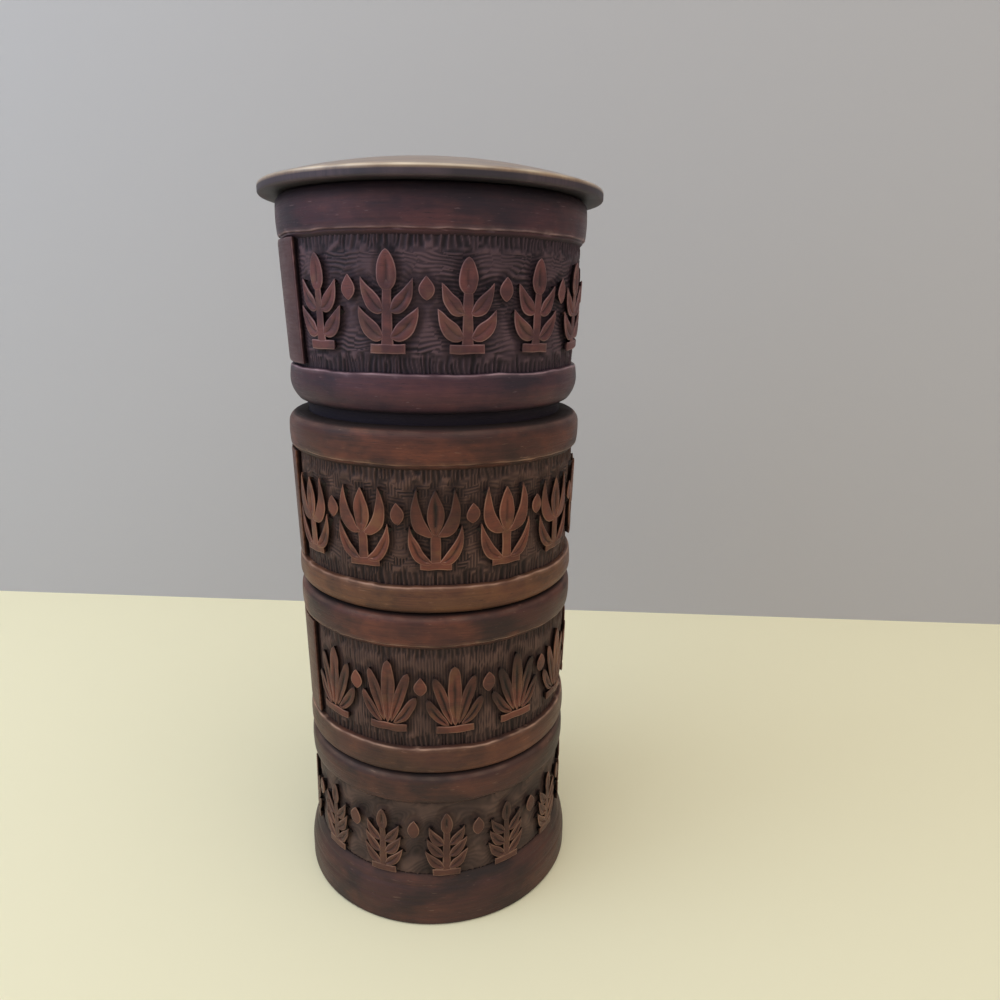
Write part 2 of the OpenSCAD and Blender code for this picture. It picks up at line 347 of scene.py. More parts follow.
class Tree:
    """The shader nodes of one material."""

    SHIFT = (1.0, 1.7, 2.3)

    def __init__(self, name: str) -> None:
        """Start a material with only its Principled shader."""
        self.material = bpy.data.materials.new(name)
        self.material.use_nodes = True
        self.nodes = self.material.node_tree.nodes
        self.links = self.material.node_tree.links
        self.shader = self.nodes["Principled BSDF"]

    def node(
        self,
        kind: str,
        settings: dict[str, object] | None = None,
        inputs: dict[str | int, object] | None = None,
    ) -> bpy.types.Node:
        """Add a node of any type.

        Args:
            kind: The node's type.
            settings: Its properties, set first.
            inputs: A value, or a socket to link, for each input that is used.

        Returns:
            The node.
        """
        made = self.nodes.new(kind)
        for name, value in (settings or {}).items():
            setattr(made, name, value)
        for name, value in (inputs or {}).items():
            self.feed(made.inputs[name], value)
        return made

    def feed(self, socket: bpy.types.NodeSocket, value: object) -> None:
        """Link a value or socket into a socket, or set the socket's own value."""
        if isinstance(value, Value):
            self.links.new(value.socket, socket)
        elif isinstance(value, bpy.types.NodeSocket):
            self.links.new(value, socket)
        elif socket.type == "RGBA":
            socket.default_value = (*value, 1)
        else:
            socket.default_value = value

    def noise(self, grain: Place, seed: float, detail: float = 3, rough: float = 0.55) -> Value:
        """Add noise on the piece's own coordinates.

        Args:
            grain: Typical size of a mark along X, Y and Z, in millimetres.
            seed: Shift that gives each use its own pattern.
            detail: Octaves.
            rough: Weight of the finer octaves.

        Returns:
            The noise, around 0.5.
        """
        coords = self.node("ShaderNodeTexCoord").outputs["Object"]
        scale = tuple(1 / (size * MM) for size in grain)
        shift = tuple(seed * share for share in self.SHIFT)
        placed = self.node("ShaderNodeMapping", None, {"Vector": coords, "Scale": scale, "Location": shift})
        inputs = {"Vector": placed.outputs[0], "Scale": 1.0, "Detail": detail, "Roughness": rough}
        return Value(self, self.node("ShaderNodeTexNoise", None, inputs).outputs[0])

    def mark(self, name: str) -> Value:
        """Read a value that the mesh keeps for each point."""
        return Value(self, self.node("ShaderNodeAttribute", {"attribute_name": name}).outputs["Fac"])

    def blend(self, amount: Value, first: object, second: object) -> bpy.types.NodeSocket:
        """Mix two colours, given as colours or sockets, by an amount."""
        settings = {"data_type": "RGBA", "clamp_factor": True}
        return self.node("ShaderNodeMix", settings, {0: amount, 6: first, 7: second}).outputs[2]

    def relief(self, height: Value, depth: float, strength: float = 1.0) -> bpy.types.NodeSocket:
        """Turn a height into a bumped normal, full height being a depth in metres."""
        inputs = {"Height": height, "Distance": depth, "Strength": strength}
        return self.node("ShaderNodeBump", None, inputs).outputs[0]

    def shade(self, **inputs: object) -> bpy.types.Material:
        """Feed the shader's inputs, named in lower case with _ for a space, and give the material."""
        for name, value in inputs.items():
            self.feed(self.shader.inputs[name.replace("_", " ").title().replace("Ior", "IOR")], value)
        return self.material


@dataclass(frozen=True)
class BandWood:
    """Dark stained wood of the bands, turned smooth, waxed, and worn redder where hands rub it."""

    name: str
    seed: float
    tint: Colour
    rub: float
    table_bounce: float
    smoke: Colour = (0.034, 0.0215, 0.020)
    stain: Colour = (0.078, 0.032, 0.027)
    rubbed: Colour = (0.155, 0.052, 0.033)
    # Colour of the painted warm light from the table on the lower band
    honey: Colour = (0.170, 0.076, 0.038)
    pale: Colour = (0.370, 0.215, 0.150)
    # Colour of the painted shade, which also stands for dirt
    shade_and_dirt_colour: Colour = (0.017, 0.012, 0.0115)
    grain_depth: float = 0.09 * MM
    specular: float = 0.13
    coat: float = 0.03
    coat_rough: float = 0.32

    def material(self) -> bpy.types.Material:
        """Build the finish."""
        tree = Tree(self.name)
        smoke, stain, rubbed, honey, pale, shade_and_dirt_colour = tinted(
            self.tint, self.smoke, self.stain, self.rubbed, self.honey, self.pale, self.shade_and_dirt_colour
        )
        cloud = tree.noise((15, 15, 9), self.seed, 4)
        blotch = tree.noise((5, 5, 3.5), self.seed + 3, 3).ramp(0.38, 0.64)
        drift = tree.noise((22, 22, 7), self.seed + 5, 4)
        streak = tree.noise((17, 17, 0.75), self.seed + 9, 4).ramp(0.32, 0.68)
        hair = tree.noise((7, 7, 0.22), self.seed + 13, 2).ramp(0.3, 0.7)
        pore = tree.noise((2.4, 2.4, 0.3), self.seed + 21, 2).ramp(0.6, 0.74)
        scuff = tree.noise((3.2, 3.2, 0.4), self.seed + 27, 2).ramp(0.66, 0.74) * blotch
        wear = tree.mark("wear")
        shade_and_dirt = tree.mark("shade_and_dirt")
        body = tree.blend(cloud.ramp(0.36, 0.60) * 0.75 + streak * 0.25, smoke, stain)
        red = drift.ramp(0.44, 0.64) * (0.25 + 0.4 * blotch + 0.25 * streak) * self.rub
        warm = tree.blend(red, body, rubbed)
        # Painted warm light from the table brightens the lower band towards honey
        table_bounce = tree.mark("low") * (0.35 + 0.4 * blotch + 0.25 * streak) * self.table_bounce
        amber = tree.blend(table_bounce, warm, honey)
        lined = tree.blend(pore * 0.45 + (1 - hair) * 0.2, amber, smoke)
        edged = tree.blend(wear * (0.55 + 0.4 * blotch) + scuff * 0.3, lined, pale)
        # Painted shade, with some dirt, darkens the rims where the next piece stands, the band under the
        # lid, the neck and the recesses
        colour = tree.blend(shade_and_dirt * 0.92, edged, shade_and_dirt_colour)
        rough = 0.40 + 0.10 * hair - 0.08 * cloud.ramp(0.4, 0.7) + 0.3 * shade_and_dirt
        normal = tree.relief(streak * 0.4 + hair * 0.35 - pore * 0.6, self.grain_depth, 0.7)
        return tree.shade(
            base_color=colour, roughness=rough, normal=normal, specular_ior_level=self.specular,
            coat_weight=self.coat * (1 - shade_and_dirt), coat_roughness=self.coat_rough,
        )


@dataclass(frozen=True)
class GroundWood:
    """Sunk ground of a frieze: cut wood, darkened by old stain that lies in every gouge and by painted
    shade there, with crests painted light as highlights and painted shade beside the carving.
    """

    name: str
    seed: float
    tint: Colour
    pit: Colour = (0.016, 0.009, 0.0085)
    cut: Colour = (0.050, 0.027, 0.023)
    crest: Colour = (0.135, 0.070, 0.053)
    grain_depth: float = 0.10 * MM
    specular: float = 0.18

    def material(self) -> bpy.types.Material:
        """Build the finish."""
        tree = Tree(self.name)
        pit, cut, top = tinted(self.tint, self.pit, self.cut, self.crest)
        crest = tree.mark("crest")
        trench_wax_and_shade = tree.mark("trench_wax_and_shade")
        patch = tree.noise((6, 6, 6), self.seed, 3).ramp(0.35, 0.65)
        grit = tree.noise((0.7, 0.7, 0.7), self.seed + 4, 3)
        # Gouge bottoms are painted dark as shade as well as stain, and the crests are painted light as
        # highlights
        low = tree.blend(crest.ramp(0.05, 0.6), pit, cut)
        high = tree.blend(crest.ramp(0.5, 0.95) * (0.3 + 0.45 * patch), low, top)
        # Beside the carving, painted shade joins the wax and dirt that gather there
        colour = tree.blend(trench_wax_and_shade * (0.4 + 0.3 * patch), high, pit)
        rough = 0.5 + 0.14 * grit + 0.1 * trench_wax_and_shade
        normal = tree.relief(grit, self.grain_depth, 0.6)
        return tree.shade(
            base_color=colour, roughness=rough, normal=normal, specular_ior_level=self.specular
        )


@dataclass(frozen=True)
class ReliefWood:
    """Tops of the carving: flat wood worn to a coppery brown, with pale edges, and sides painted dark as
    shade.
    """

    name: str
    seed: float
    tint: Colour
    worn: float
    side: Colour = (0.014, 0.008, 0.007)
    dull: Colour = (0.066, 0.026, 0.020)
    copper: Colour = (0.165, 0.050, 0.031)
    honey: Colour = (0.170, 0.076, 0.036)
    pale: Colour = (0.345, 0.170, 0.108)
    grain_depth: float = 0.07 * MM
    specular: float = 0.2
    coat: float = 0.03
    coat_rough: float = 0.35

    def material(self) -> bpy.types.Material:
        """Build the finish."""
        tree = Tree(self.name)
        side, dull, copper, honey, pale = tinted(
            self.tint, self.side, self.dull, self.copper, self.honey, self.pale
        )
        rise = tree.mark("rise")
        edge = tree.mark("edge")
        plain = tree.mark("plain")
        rub = tree.noise((8, 8, 7), self.seed, 3).ramp(0.36, 0.64)
        gild = tree.noise((6, 6, 5), self.seed + 11, 2).ramp(0.52, 0.68)
        grain = tree.noise((5, 5, 0.5), self.seed + 7, 4).ramp(0.3, 0.7)
        pore = tree.noise((1.6, 1.6, 0.3), self.seed + 15, 2).ramp(0.58, 0.72)
        carved = (1 - 0.8 * plain) * self.worn
        top = tree.blend((rub * 0.75 + grain * 0.25) * carved, dull, copper)
        golden = tree.blend(gild * (0.35 + 0.3 * rub) * carved, top, honey)
        lined = tree.blend(pore * 0.4, golden, dull)
        edged = tree.blend(edge * (0.24 + 0.5 * rub) * (1 - 0.5 * plain), lined, pale)
        # Below the worn tops, the sides take the dark side colour as painted shade
        colour = tree.blend(rise.ramp(0.45, 0.92), side, edged)
        rough = 0.44 + 0.1 * grain - 0.06 * rub
        normal = tree.relief(grain * 0.5 - pore * 0.6, self.grain_depth, 0.6)
        return tree.shade(
            base_color=colour, roughness=rough, normal=normal, specular_ior_level=self.specular,
            coat_weight=self.coat, coat_roughness=self.coat_rough,
        )


@dataclass(frozen=True)
class CupWood:
    """Bare wood inside the cups and on the spigots, ringed by the turning tool and dusted by spice."""

    name: str
    seed: float
    bare: Colour = (0.235, 0.130, 0.072)
    ring: Colour = (0.150, 0.078, 0.044)
    dust: Colour = (0.260, 0.120, 0.040)
    grain_depth: float = 0.10 * MM

    def material(self) -> bpy.types.Material:
        """Build the finish."""
        tree = Tree(self.name)
        ring = tree.noise((20, 20, 0.6), self.seed, 4).ramp(0.3, 0.7)
        patch = tree.noise((9, 9, 9), self.seed + 3, 4).ramp(0.4, 0.7)
        grit = tree.noise((0.8, 0.8, 0.8), self.seed + 8, 3)
        wood = tree.blend(ring * 0.8, self.bare, self.ring)
        colour = tree.blend(patch * (0.3 + 0.4 * grit), wood, self.dust)
        rough = 0.58 + 0.12 * grit
        normal = tree.relief(ring * 0.5 + grit * 0.4, self.grain_depth, 0.7)
        return tree.shade(base_color=colour, roughness=rough, normal=normal)


@dataclass(frozen=True)
class LidWood:
    """Lid's wood, polished by hands: face grain on the dome, a dark edge tinted blue as a painted cool
    reflection, a line rubbed bare that is also a painted highlight, and painted shade under the overhang.
    """

    name: str
    seed: float
    grain_dark: Colour = (0.112, 0.054, 0.028)
    grain_pale: Colour = (0.300, 0.172, 0.096)
    edge: Colour = (0.026, 0.017, 0.026)
    sheen: Colour = (0.062, 0.038, 0.050)
    rubbed: Colour = (0.800, 0.650, 0.470)
    shade_and_dirt_colour: Colour = (0.008, 0.006, 0.009)
    grain_depth: float = 0.03 * MM
    specular: float = 0.45
    coat: float = 0.75
    coat_rough: float = 0.28

    def material(self) -> bpy.types.Material:
        """Build the finish."""
        tree = Tree(self.name)
        figure = tree.noise((40, 3.2, 12), self.seed, 5, 0.6).ramp(0.32, 0.68)
        hair = tree.noise((16, 0.5, 5), self.seed + 6, 3).ramp(0.3, 0.7)
        cloud = tree.noise((16, 16, 16), self.seed + 11, 3).ramp(0.38, 0.66)
        handled = tree.mark("handled")
        wear = tree.mark("wear")
        wood = tree.blend(figure * 0.7 + hair * 0.3, self.grain_dark, self.grain_pale)
        # The side's colours are tinted blue as a painted cool reflection, and the paler sheen patches are a
        # painted sheen
        rim = tree.blend(cloud * (0.4 + 0.6 * hair), self.edge, self.sheen)
        dark = tree.blend(handled, wood, rim)
        # The line rubbed bare along the edge is also a painted highlight
        lined = tree.blend(wear * (0.65 + 0.35 * cloud), dark, self.rubbed)
        # Painted shade under the overhang
        colour = tree.blend(tree.mark("shade_and_dirt") * 0.85, lined, self.shade_and_dirt_colour)
        rough = 0.28 + 0.08 * cloud + 0.05 * hair + 0.22 * handled
        normal = tree.relief(hair * 0.4 + figure * 0.4, self.grain_depth, 0.4)
        return tree.shade(
            base_color=colour, roughness=rough, normal=normal, specular_ior_level=self.specular,
            coat_weight=self.coat * (1 - handled), coat_roughness=self.coat_rough,
        )


class Section:
    """A half section drawn from point to point, as radius and height."""

    def __init__(self, radius: float, height: float) -> None:
        """Start at a point."""
        self.points: list[Point] = [(radius, height)]

    def to(self, radius: float, height: float, step: float = 4 * MM) -> "Section":
        """Draw a straight run, with points no further apart than a step."""
        r_from, z_from = self.points[-1]
        count = max(1, math.ceil(math.hypot(radius - r_from, height - z_from) / step))
        for i in range(1, count + 1):
            share = i / count
            self.points.append((r_from + (radius - r_from) * share, z_from + (height - z_from) * share))
        return self

    def round(self, centre: Point, size: float, start: float, end: float, count: int = 6) -> "Section":
        """Draw an arc about a centre, from one angle to another in degrees from level."""
        for i in range(count + 1):
            angle = math.radians(start + (end - start) * i / count)
            place = (centre[0] + size * math.cos(angle), centre[1] + size * math.sin(angle))
            if math.dist(place, self.points[-1]) > WELD:
                self.points.append(place)
        return self

    def dished(self, radius: float, height: float, rise: float, count: int = 8) -> "Section":
        """Draw a shallow hollow from its middle out to the radius where it has fallen to a height."""
        for i in range(1, count + 1):
            share = i / count
            self.points.append((radius * share, height + rise * (1 - share * share)))
        return self


@dataclass(frozen=True)
class PushFit:
    """The spigot and socket that every joint of the tower shares."""

    spigot_r: float = 30.7 * MM
    spigot_h: float = 7.0 * MM
    chamfer: float = 0.8 * MM
    hollow: float = 1.2 * MM
    ring_w: float = 4.0 * MM
    socket_r: float = 31.0 * MM
    socket_h: float = 7.5 * MM
    mouth: float = 0.6 * MM
    cup_r: float = 29.0 * MM
    cup_round: float = 4.0 * MM
    floor_t: float = 7.4 * MM

    def spigot(self, seat: float) -> Section:
        """Draw a spigot's section from the middle of its hollow end up to its seat."""
        end = seat - self.spigot_h
        section = Section(0, end + self.hollow)
        section.dished(self.spigot_r - self.ring_w, end, self.hollow)
        section.to(self.spigot_r - self.chamfer, end).to(self.spigot_r, end + self.chamfer)
        return section.to(self.spigot_r, seat)

    def cup(self, section: Section, rim: float, floor: float) -> Section:
        """Go on from a rim down its socket and cup to the middle of the floor."""
        section.to(self.socket_r + self.mouth, rim).to(self.socket_r, rim - self.mouth)
        section.to(self.socket_r, rim - self.socket_h).to(self.cup_r, rim - self.socket_h)
        corner = (self.cup_r - self.cup_round, floor + self.cup_round)
        section.to(self.cup_r, corner[1])
        return section.round(corner, self.cup_round, 0, -90).to(0, floor)


FIT = PushFit()


class Tooling(Enum):
    """How the field of a frieze was cut round its carving."""

    RIPPLE = "short wavy cuts, level"
    BASKET = "small patches of cuts, upright and level by turns"
    HATCH = "upright scratches"
    SCRAPED = "scraped nearly smooth"


class Outline(Enum):
    """How the width of a carved stroke runs along its path."""

    BAR = "square-ended, from the first width to the last"
    LEAF = "pointed at both ends, full in the lower half"
    BUD = "round at its foot and pointed at its tip"
    DROP = "pointed at its foot and round at its tip"


@dataclass(frozen=True)
class Stroke:
    """One carved stroke, in millimetres from the foot of its motif.

    Its path runs from the first point to the last, and the middle one draws it aside.
    """

    path: tuple[Point, Point, Point]
    width: float
    outline: Outline = Outline.LEAF
    end_width: float | None = None
    vein: bool = False
    sunk: float = 0.0

    ALONG = 18
    ACROSS = 8
    VEIN_DEPTH = 0.3 * MM
    SHOULDER = 0.13
    EDGE_DROP = 0.16 * MM
    SHOULDER_DROP = 0.05 * MM
    MOST_INSET = 0.3
    VEIN_START = (0.02, 0.2)
    VEIN_END = (0.6, 0.9)
    EDGE_MARKS = (0, 0, 0, 1, 0.6)
    END_MARK = 0.7

    @staticmethod
    def pod(blunt: Array, sharp: Array) -> Array:
        """Give a pod's width from 0 to 1, by the shares of its length from its round and pointed ends."""
        return np.sqrt(np.clip(blunt * sharp**1.4 * 3.9, 0, 1))

    def half_width(self, share: Array) -> Array:
        """Give half the stroke's width, in millimetres, at shares of its length."""
        if self.outline is Outline.BAR:
            last = self.width if self.end_width is None else self.end_width
            return 0.5 * (self.width + (last - self.width) * share)
        if self.outline is Outline.LEAF:
            return 0.5 * self.width * np.sin(math.pi * share**0.85) ** 0.9
        if self.outline is Outline.BUD:
            return 0.5 * self.width * self.pod(share, 1 - share)
        return 0.5 * self.width * self.pod(1 - share, share)

    def carve(self, name: str, mirrored: bool = False) -> Piece:
        """Shape a slip of faces into the stroke, flat, with its depth below the top as Z.

        Args:
            name: The slip's name.
            mirrored: Whether left and right change places.

        Returns:
            The stroke, in metres.
        """
        slip = Bench.slip(name, self.ALONG, self.ACROSS)
        points = Points(slip)
        share = points.at[:, 0] + 0.5
        side = points.at[:, 1] * 2
        bends = [np.array(bend) for bend in self.path]
        centre = sum(
            weight[:, None] * bend
            for weight, bend in zip(((1 - share) ** 2, 2 * share * (1 - share), share**2), bends)
        )
        run = (1 - share)[:, None] * (bends[1] - bends[0]) + share[:, None] * (bends[2] - bends[1])
        run /= np.linalg.norm(run, axis=1)[:, None]
        across = np.column_stack((-run[:, 1], run[:, 0]))
        half = self.half_width(share)
        inset = np.minimum(self.MOST_INSET, self.SHOULDER / np.maximum(half, self.SHOULDER))
        column = np.rint(np.abs(side) * self.ACROSS / 2).astype(int)
        spread = np.choose(column, (0, 0.5 - 1.2 * inset, 1 - 2.4 * inset, 1 - inset, 1))
        flat = centre + across * (np.sign(side) * spread * half)[:, None]
        end = np.abs(share - 0.5) > 0.499
        drop = np.choose(column, (0, 0, 0, self.SHOULDER_DROP, self.EDGE_DROP))
        depth = -self.sunk * MM - np.where(end, self.EDGE_DROP, drop)
        if self.vein:
            run_out = step_up(share, *self.VEIN_START) * step_down(share, *self.VEIN_END)
            depth -= self.VEIN_DEPTH * (column == 0) * run_out
        sign = -1 if mirrored else 1
        points.at = np.column_stack((sign * flat[:, 0] * MM, flat[:, 1] * MM, depth))
        points.write()
        points.mark("edge", np.where(end, self.END_MARK, np.choose(column, self.EDGE_MARKS)))
        if mirrored:
            Bench.turn_over(slip)
        Bench.weld(slip)
        return slip


@dataclass(frozen=True)
class Motif:
    """A carved plant: strokes on its middle line and strokes that come in pairs."""

    name: str
    middle: tuple[Stroke, ...]
    paired: tuple[Stroke, ...]

    def carve(self) -> Piece:
        """Carve the motif flat, its foot at the origin."""
        slips = [stroke.carve(self.name) for stroke in self.middle]
        for stroke in self.paired:
            slips += [stroke.carve(self.name), stroke.carve(self.name, mirrored=True)]
        return Bench.joined(self.name, slips)


def straight(low: Point, high: Point) -> tuple[Point, Point, Point]:
    """Give a stroke's path from one point straight to another."""
    return (low, ((low[0] + high[0]) / 2, (low[1] + high[1]) / 2), high)


def foot_bar(half: float, width: float) -> Stroke:
    """Give the level bar that a motif stands on."""
    return Stroke(straight((-half, width / 2), (half, width / 2)), width, Outline.BAR, sunk=0.05)


SPRIG = Motif(
    "sprig",
    (
        Stroke(straight((0, 0.5), (0, 14.5)), 2.7, Outline.BAR, 2.0, sunk=0.1),
        foot_bar(3.9, 2.0),
        Stroke(straight((0, 12.4), (0, 20.4)), 5.0, Outline.BUD, vein=True),
    ),
    (
        Stroke(((0.7, 3.4), (4.2, 3.8), (6.6, 9.4)), 3.7, vein=True),
        Stroke(((0.6, 8.6), (3.6, 9.2), (5.7, 15.0)), 3.4, vein=True),
    ),
)
TULIP = Motif(
    "tulip",
    (
        Stroke(straight((0, 0.5), (0, 10.5)), 2.7, Outline.BAR, 2.3, sunk=0.1),
        foot_bar(3.9, 2.0),
        Stroke(straight((0, 8.0), (0, 19.0)), 4.2, Outline.LEAF, vein=True),
    ),
    (
        Stroke(((0.3, 8.2), (6.2, 9.4), (4.6, 19.4)), 3.3),
        Stroke(((0.7, 1.6), (5.6, 2.2), (6.5, 10.6)), 3.0, vein=True),
    ),
)
PALMETTE = Motif(
    "palmette",
    (
        Stroke(straight((0, 2.0), (0, 18.8)), 4.0, Outline.DROP, vein=True),
        foot_bar(4.8, 2.0),
    ),
    (
        Stroke(((0.9, 2.4), (2.6, 8.6), (5.2, 15.8)), 3.3, Outline.DROP, vein=True, sunk=0.06),
        Stroke(((1.5, 2.2), (4.6, 3.8), (7.1, 9.6)), 3.1, Outline.DROP, vein=True, sunk=0.12),
    ),
)
EAR = Motif(
    "ear",
    (
        Stroke(straight((0, 0.5), (0, 15.0)), 2.3, Outline.BAR, 1.6, sunk=0.1),
        foot_bar(3.6, 1.9),
        Stroke(straight((0, 12.6), (0, 18.6)), 3.6, Outline.BUD, vein=True),
    ),
    tuple(
        Stroke(((0.5, low), (3.0, low + 0.6), (reach, low + 5.2)), 2.7, vein=True)
        for low, reach in ((2.4, 5.6), (6.0, 5.2), (9.4, 4.7))
    ),
)
LOZENGE = Motif("lozenge", (Stroke(straight((0, -2.6), (0, 2.6)), 3.4, Outline.LEAF),), ())


class Field:
    """The field of a frieze's ground, point by point, and the ways to cut it.

    Each way takes the source of its random draws and gives two values for each point: the depth
    in metres, and a crest that is 1 where the wood is left whole.
    """

    WARP = (30, 12 * MM)
    SWELL = (18, 14 * MM)
    RIPPLE_LONG = 4.2 * MM
    RIPPLE_ROW = 3.4 * MM
    RIPPLE_PITCH = 0.92 * MM
    RIPPLE_DEPTH = 0.24 * MM
    RIPPLES = 199
    BASKET_ROW = 2.7 * MM
    BASKET_WIDE = 2.8 * MM
    BASKET_PITCH = 0.9 * MM
    BASKET_DEPTH = 0.26 * MM
    BASKETS = 211
    CUT_COLUMNS = 3
    HATCH_BREAK = 5.5 * MM
    HATCH_DEPTH = 0.20 * MM
    SCRAPE_PITCH = 1.7 * MM
    SCRAPE_DEPTH = 0.16 * MM

    def __init__(self, azimuth: Array, height: Array, column: Array, radius: float, seed: int) -> None:
        """Take the points of the ground, and draw the unevenness of the hand that cuts it.

        Args:
            azimuth: Azimuth of each point.
            height: Height of each point.
            column: Column of faces that each point starts.
            radius: Radius that distances round the wall are taken at.
            seed: Seed of the unevenness.
        """
        self.around = azimuth * radius
        self.height = height
        self.column = column
        self.warp = Waves(seed + 4, *self.WARP)(azimuth, height)
        self.swell = Waves(seed + 5, *self.SWELL)(azimuth, height)

    def ripple(self, rng: np.random.Generator) -> tuple[Array, Array]:
        """Cut short wavy strokes, level."""
        along = self.around / self.RIPPLE_LONG + 0.5 * self.warp
        row = np.floor(self.height / self.RIPPLE_ROW + 0.4 * self.swell).astype(int)
        stroke = (np.floor(along).astype(int) + 7 * row) % self.RIPPLES
        shift = rng.uniform(0, 1, self.RIPPLES)[stroke]
        slope = rng.normal(0, 0.5, self.RIPPLES)[stroke]
        turn = self.height / self.RIPPLE_PITCH + 0.35 * self.warp + 0.4 * self.swell + shift
        wave = 0.5 + 0.5 * np.sin(math.tau * (turn + slope * (along % 1)))
        vigour = np.clip(0.7 + 0.35 * self.swell, 0.2, 1)
        return self.RIPPLE_DEPTH * (1 - wave) * vigour, 1 - (1 - wave) * vigour

    def basket(self, rng: np.random.Generator) -> tuple[Array, Array]:
        """Cut small patches, upright and level by turns."""
        row = np.floor(self.height / self.BASKET_ROW + 0.55 * self.warp)
        patch = np.floor(self.around / self.BASKET_WIDE + 0.6 * self.swell) + row
        level = 0.5 + 0.5 * np.sin(math.tau * (self.height / self.BASKET_PITCH + 0.7 * self.warp))
        share = self.column % self.CUT_COLUMNS / self.CUT_COLUMNS
        upright = 1 - (4 * share * (1 - share))
        cell = (3 * patch + 17 * row).astype(int) % self.BASKETS
        vigour = rng.uniform(0.3, 1.0, self.BASKETS)[cell]
        wave = 1 - (1 - np.where(patch % 2 < 1, level, upright)) * vigour
        return self.BASKET_DEPTH * (1 - wave), wave

    def hatch(self, rng: np.random.Generator) -> tuple[Array, Array]:
        """Scratch upright lines that break off here and there."""
        strength = rng.uniform(0.3, 1.0, Tier.COLUMNS)[self.column]
        breaks = 0.5 + 0.5 * np.sin(
            math.tau * self.height / self.HATCH_BREAK + 9 * strength + 2 * self.warp
        )
        wave = 1 - (self.column % self.CUT_COLUMNS != 0) * strength * (0.35 + 0.65 * breaks)
        return self.HATCH_DEPTH * (1 - wave), wave

    def scraped(self, _: np.random.Generator) -> tuple[Array, Array]:
        """Scrape the ground nearly smooth, which takes no random draw."""
        scrape = np.sin(math.tau * (self.height / self.SCRAPE_PITCH + 1.1 * self.warp + 0.8 * self.swell))
        wave = np.clip(0.7 + 0.18 * self.warp + 0.13 * self.swell + 0.12 * scrape, 0, 1)
        return self.SCRAPE_DEPTH * (1 - wave), wave


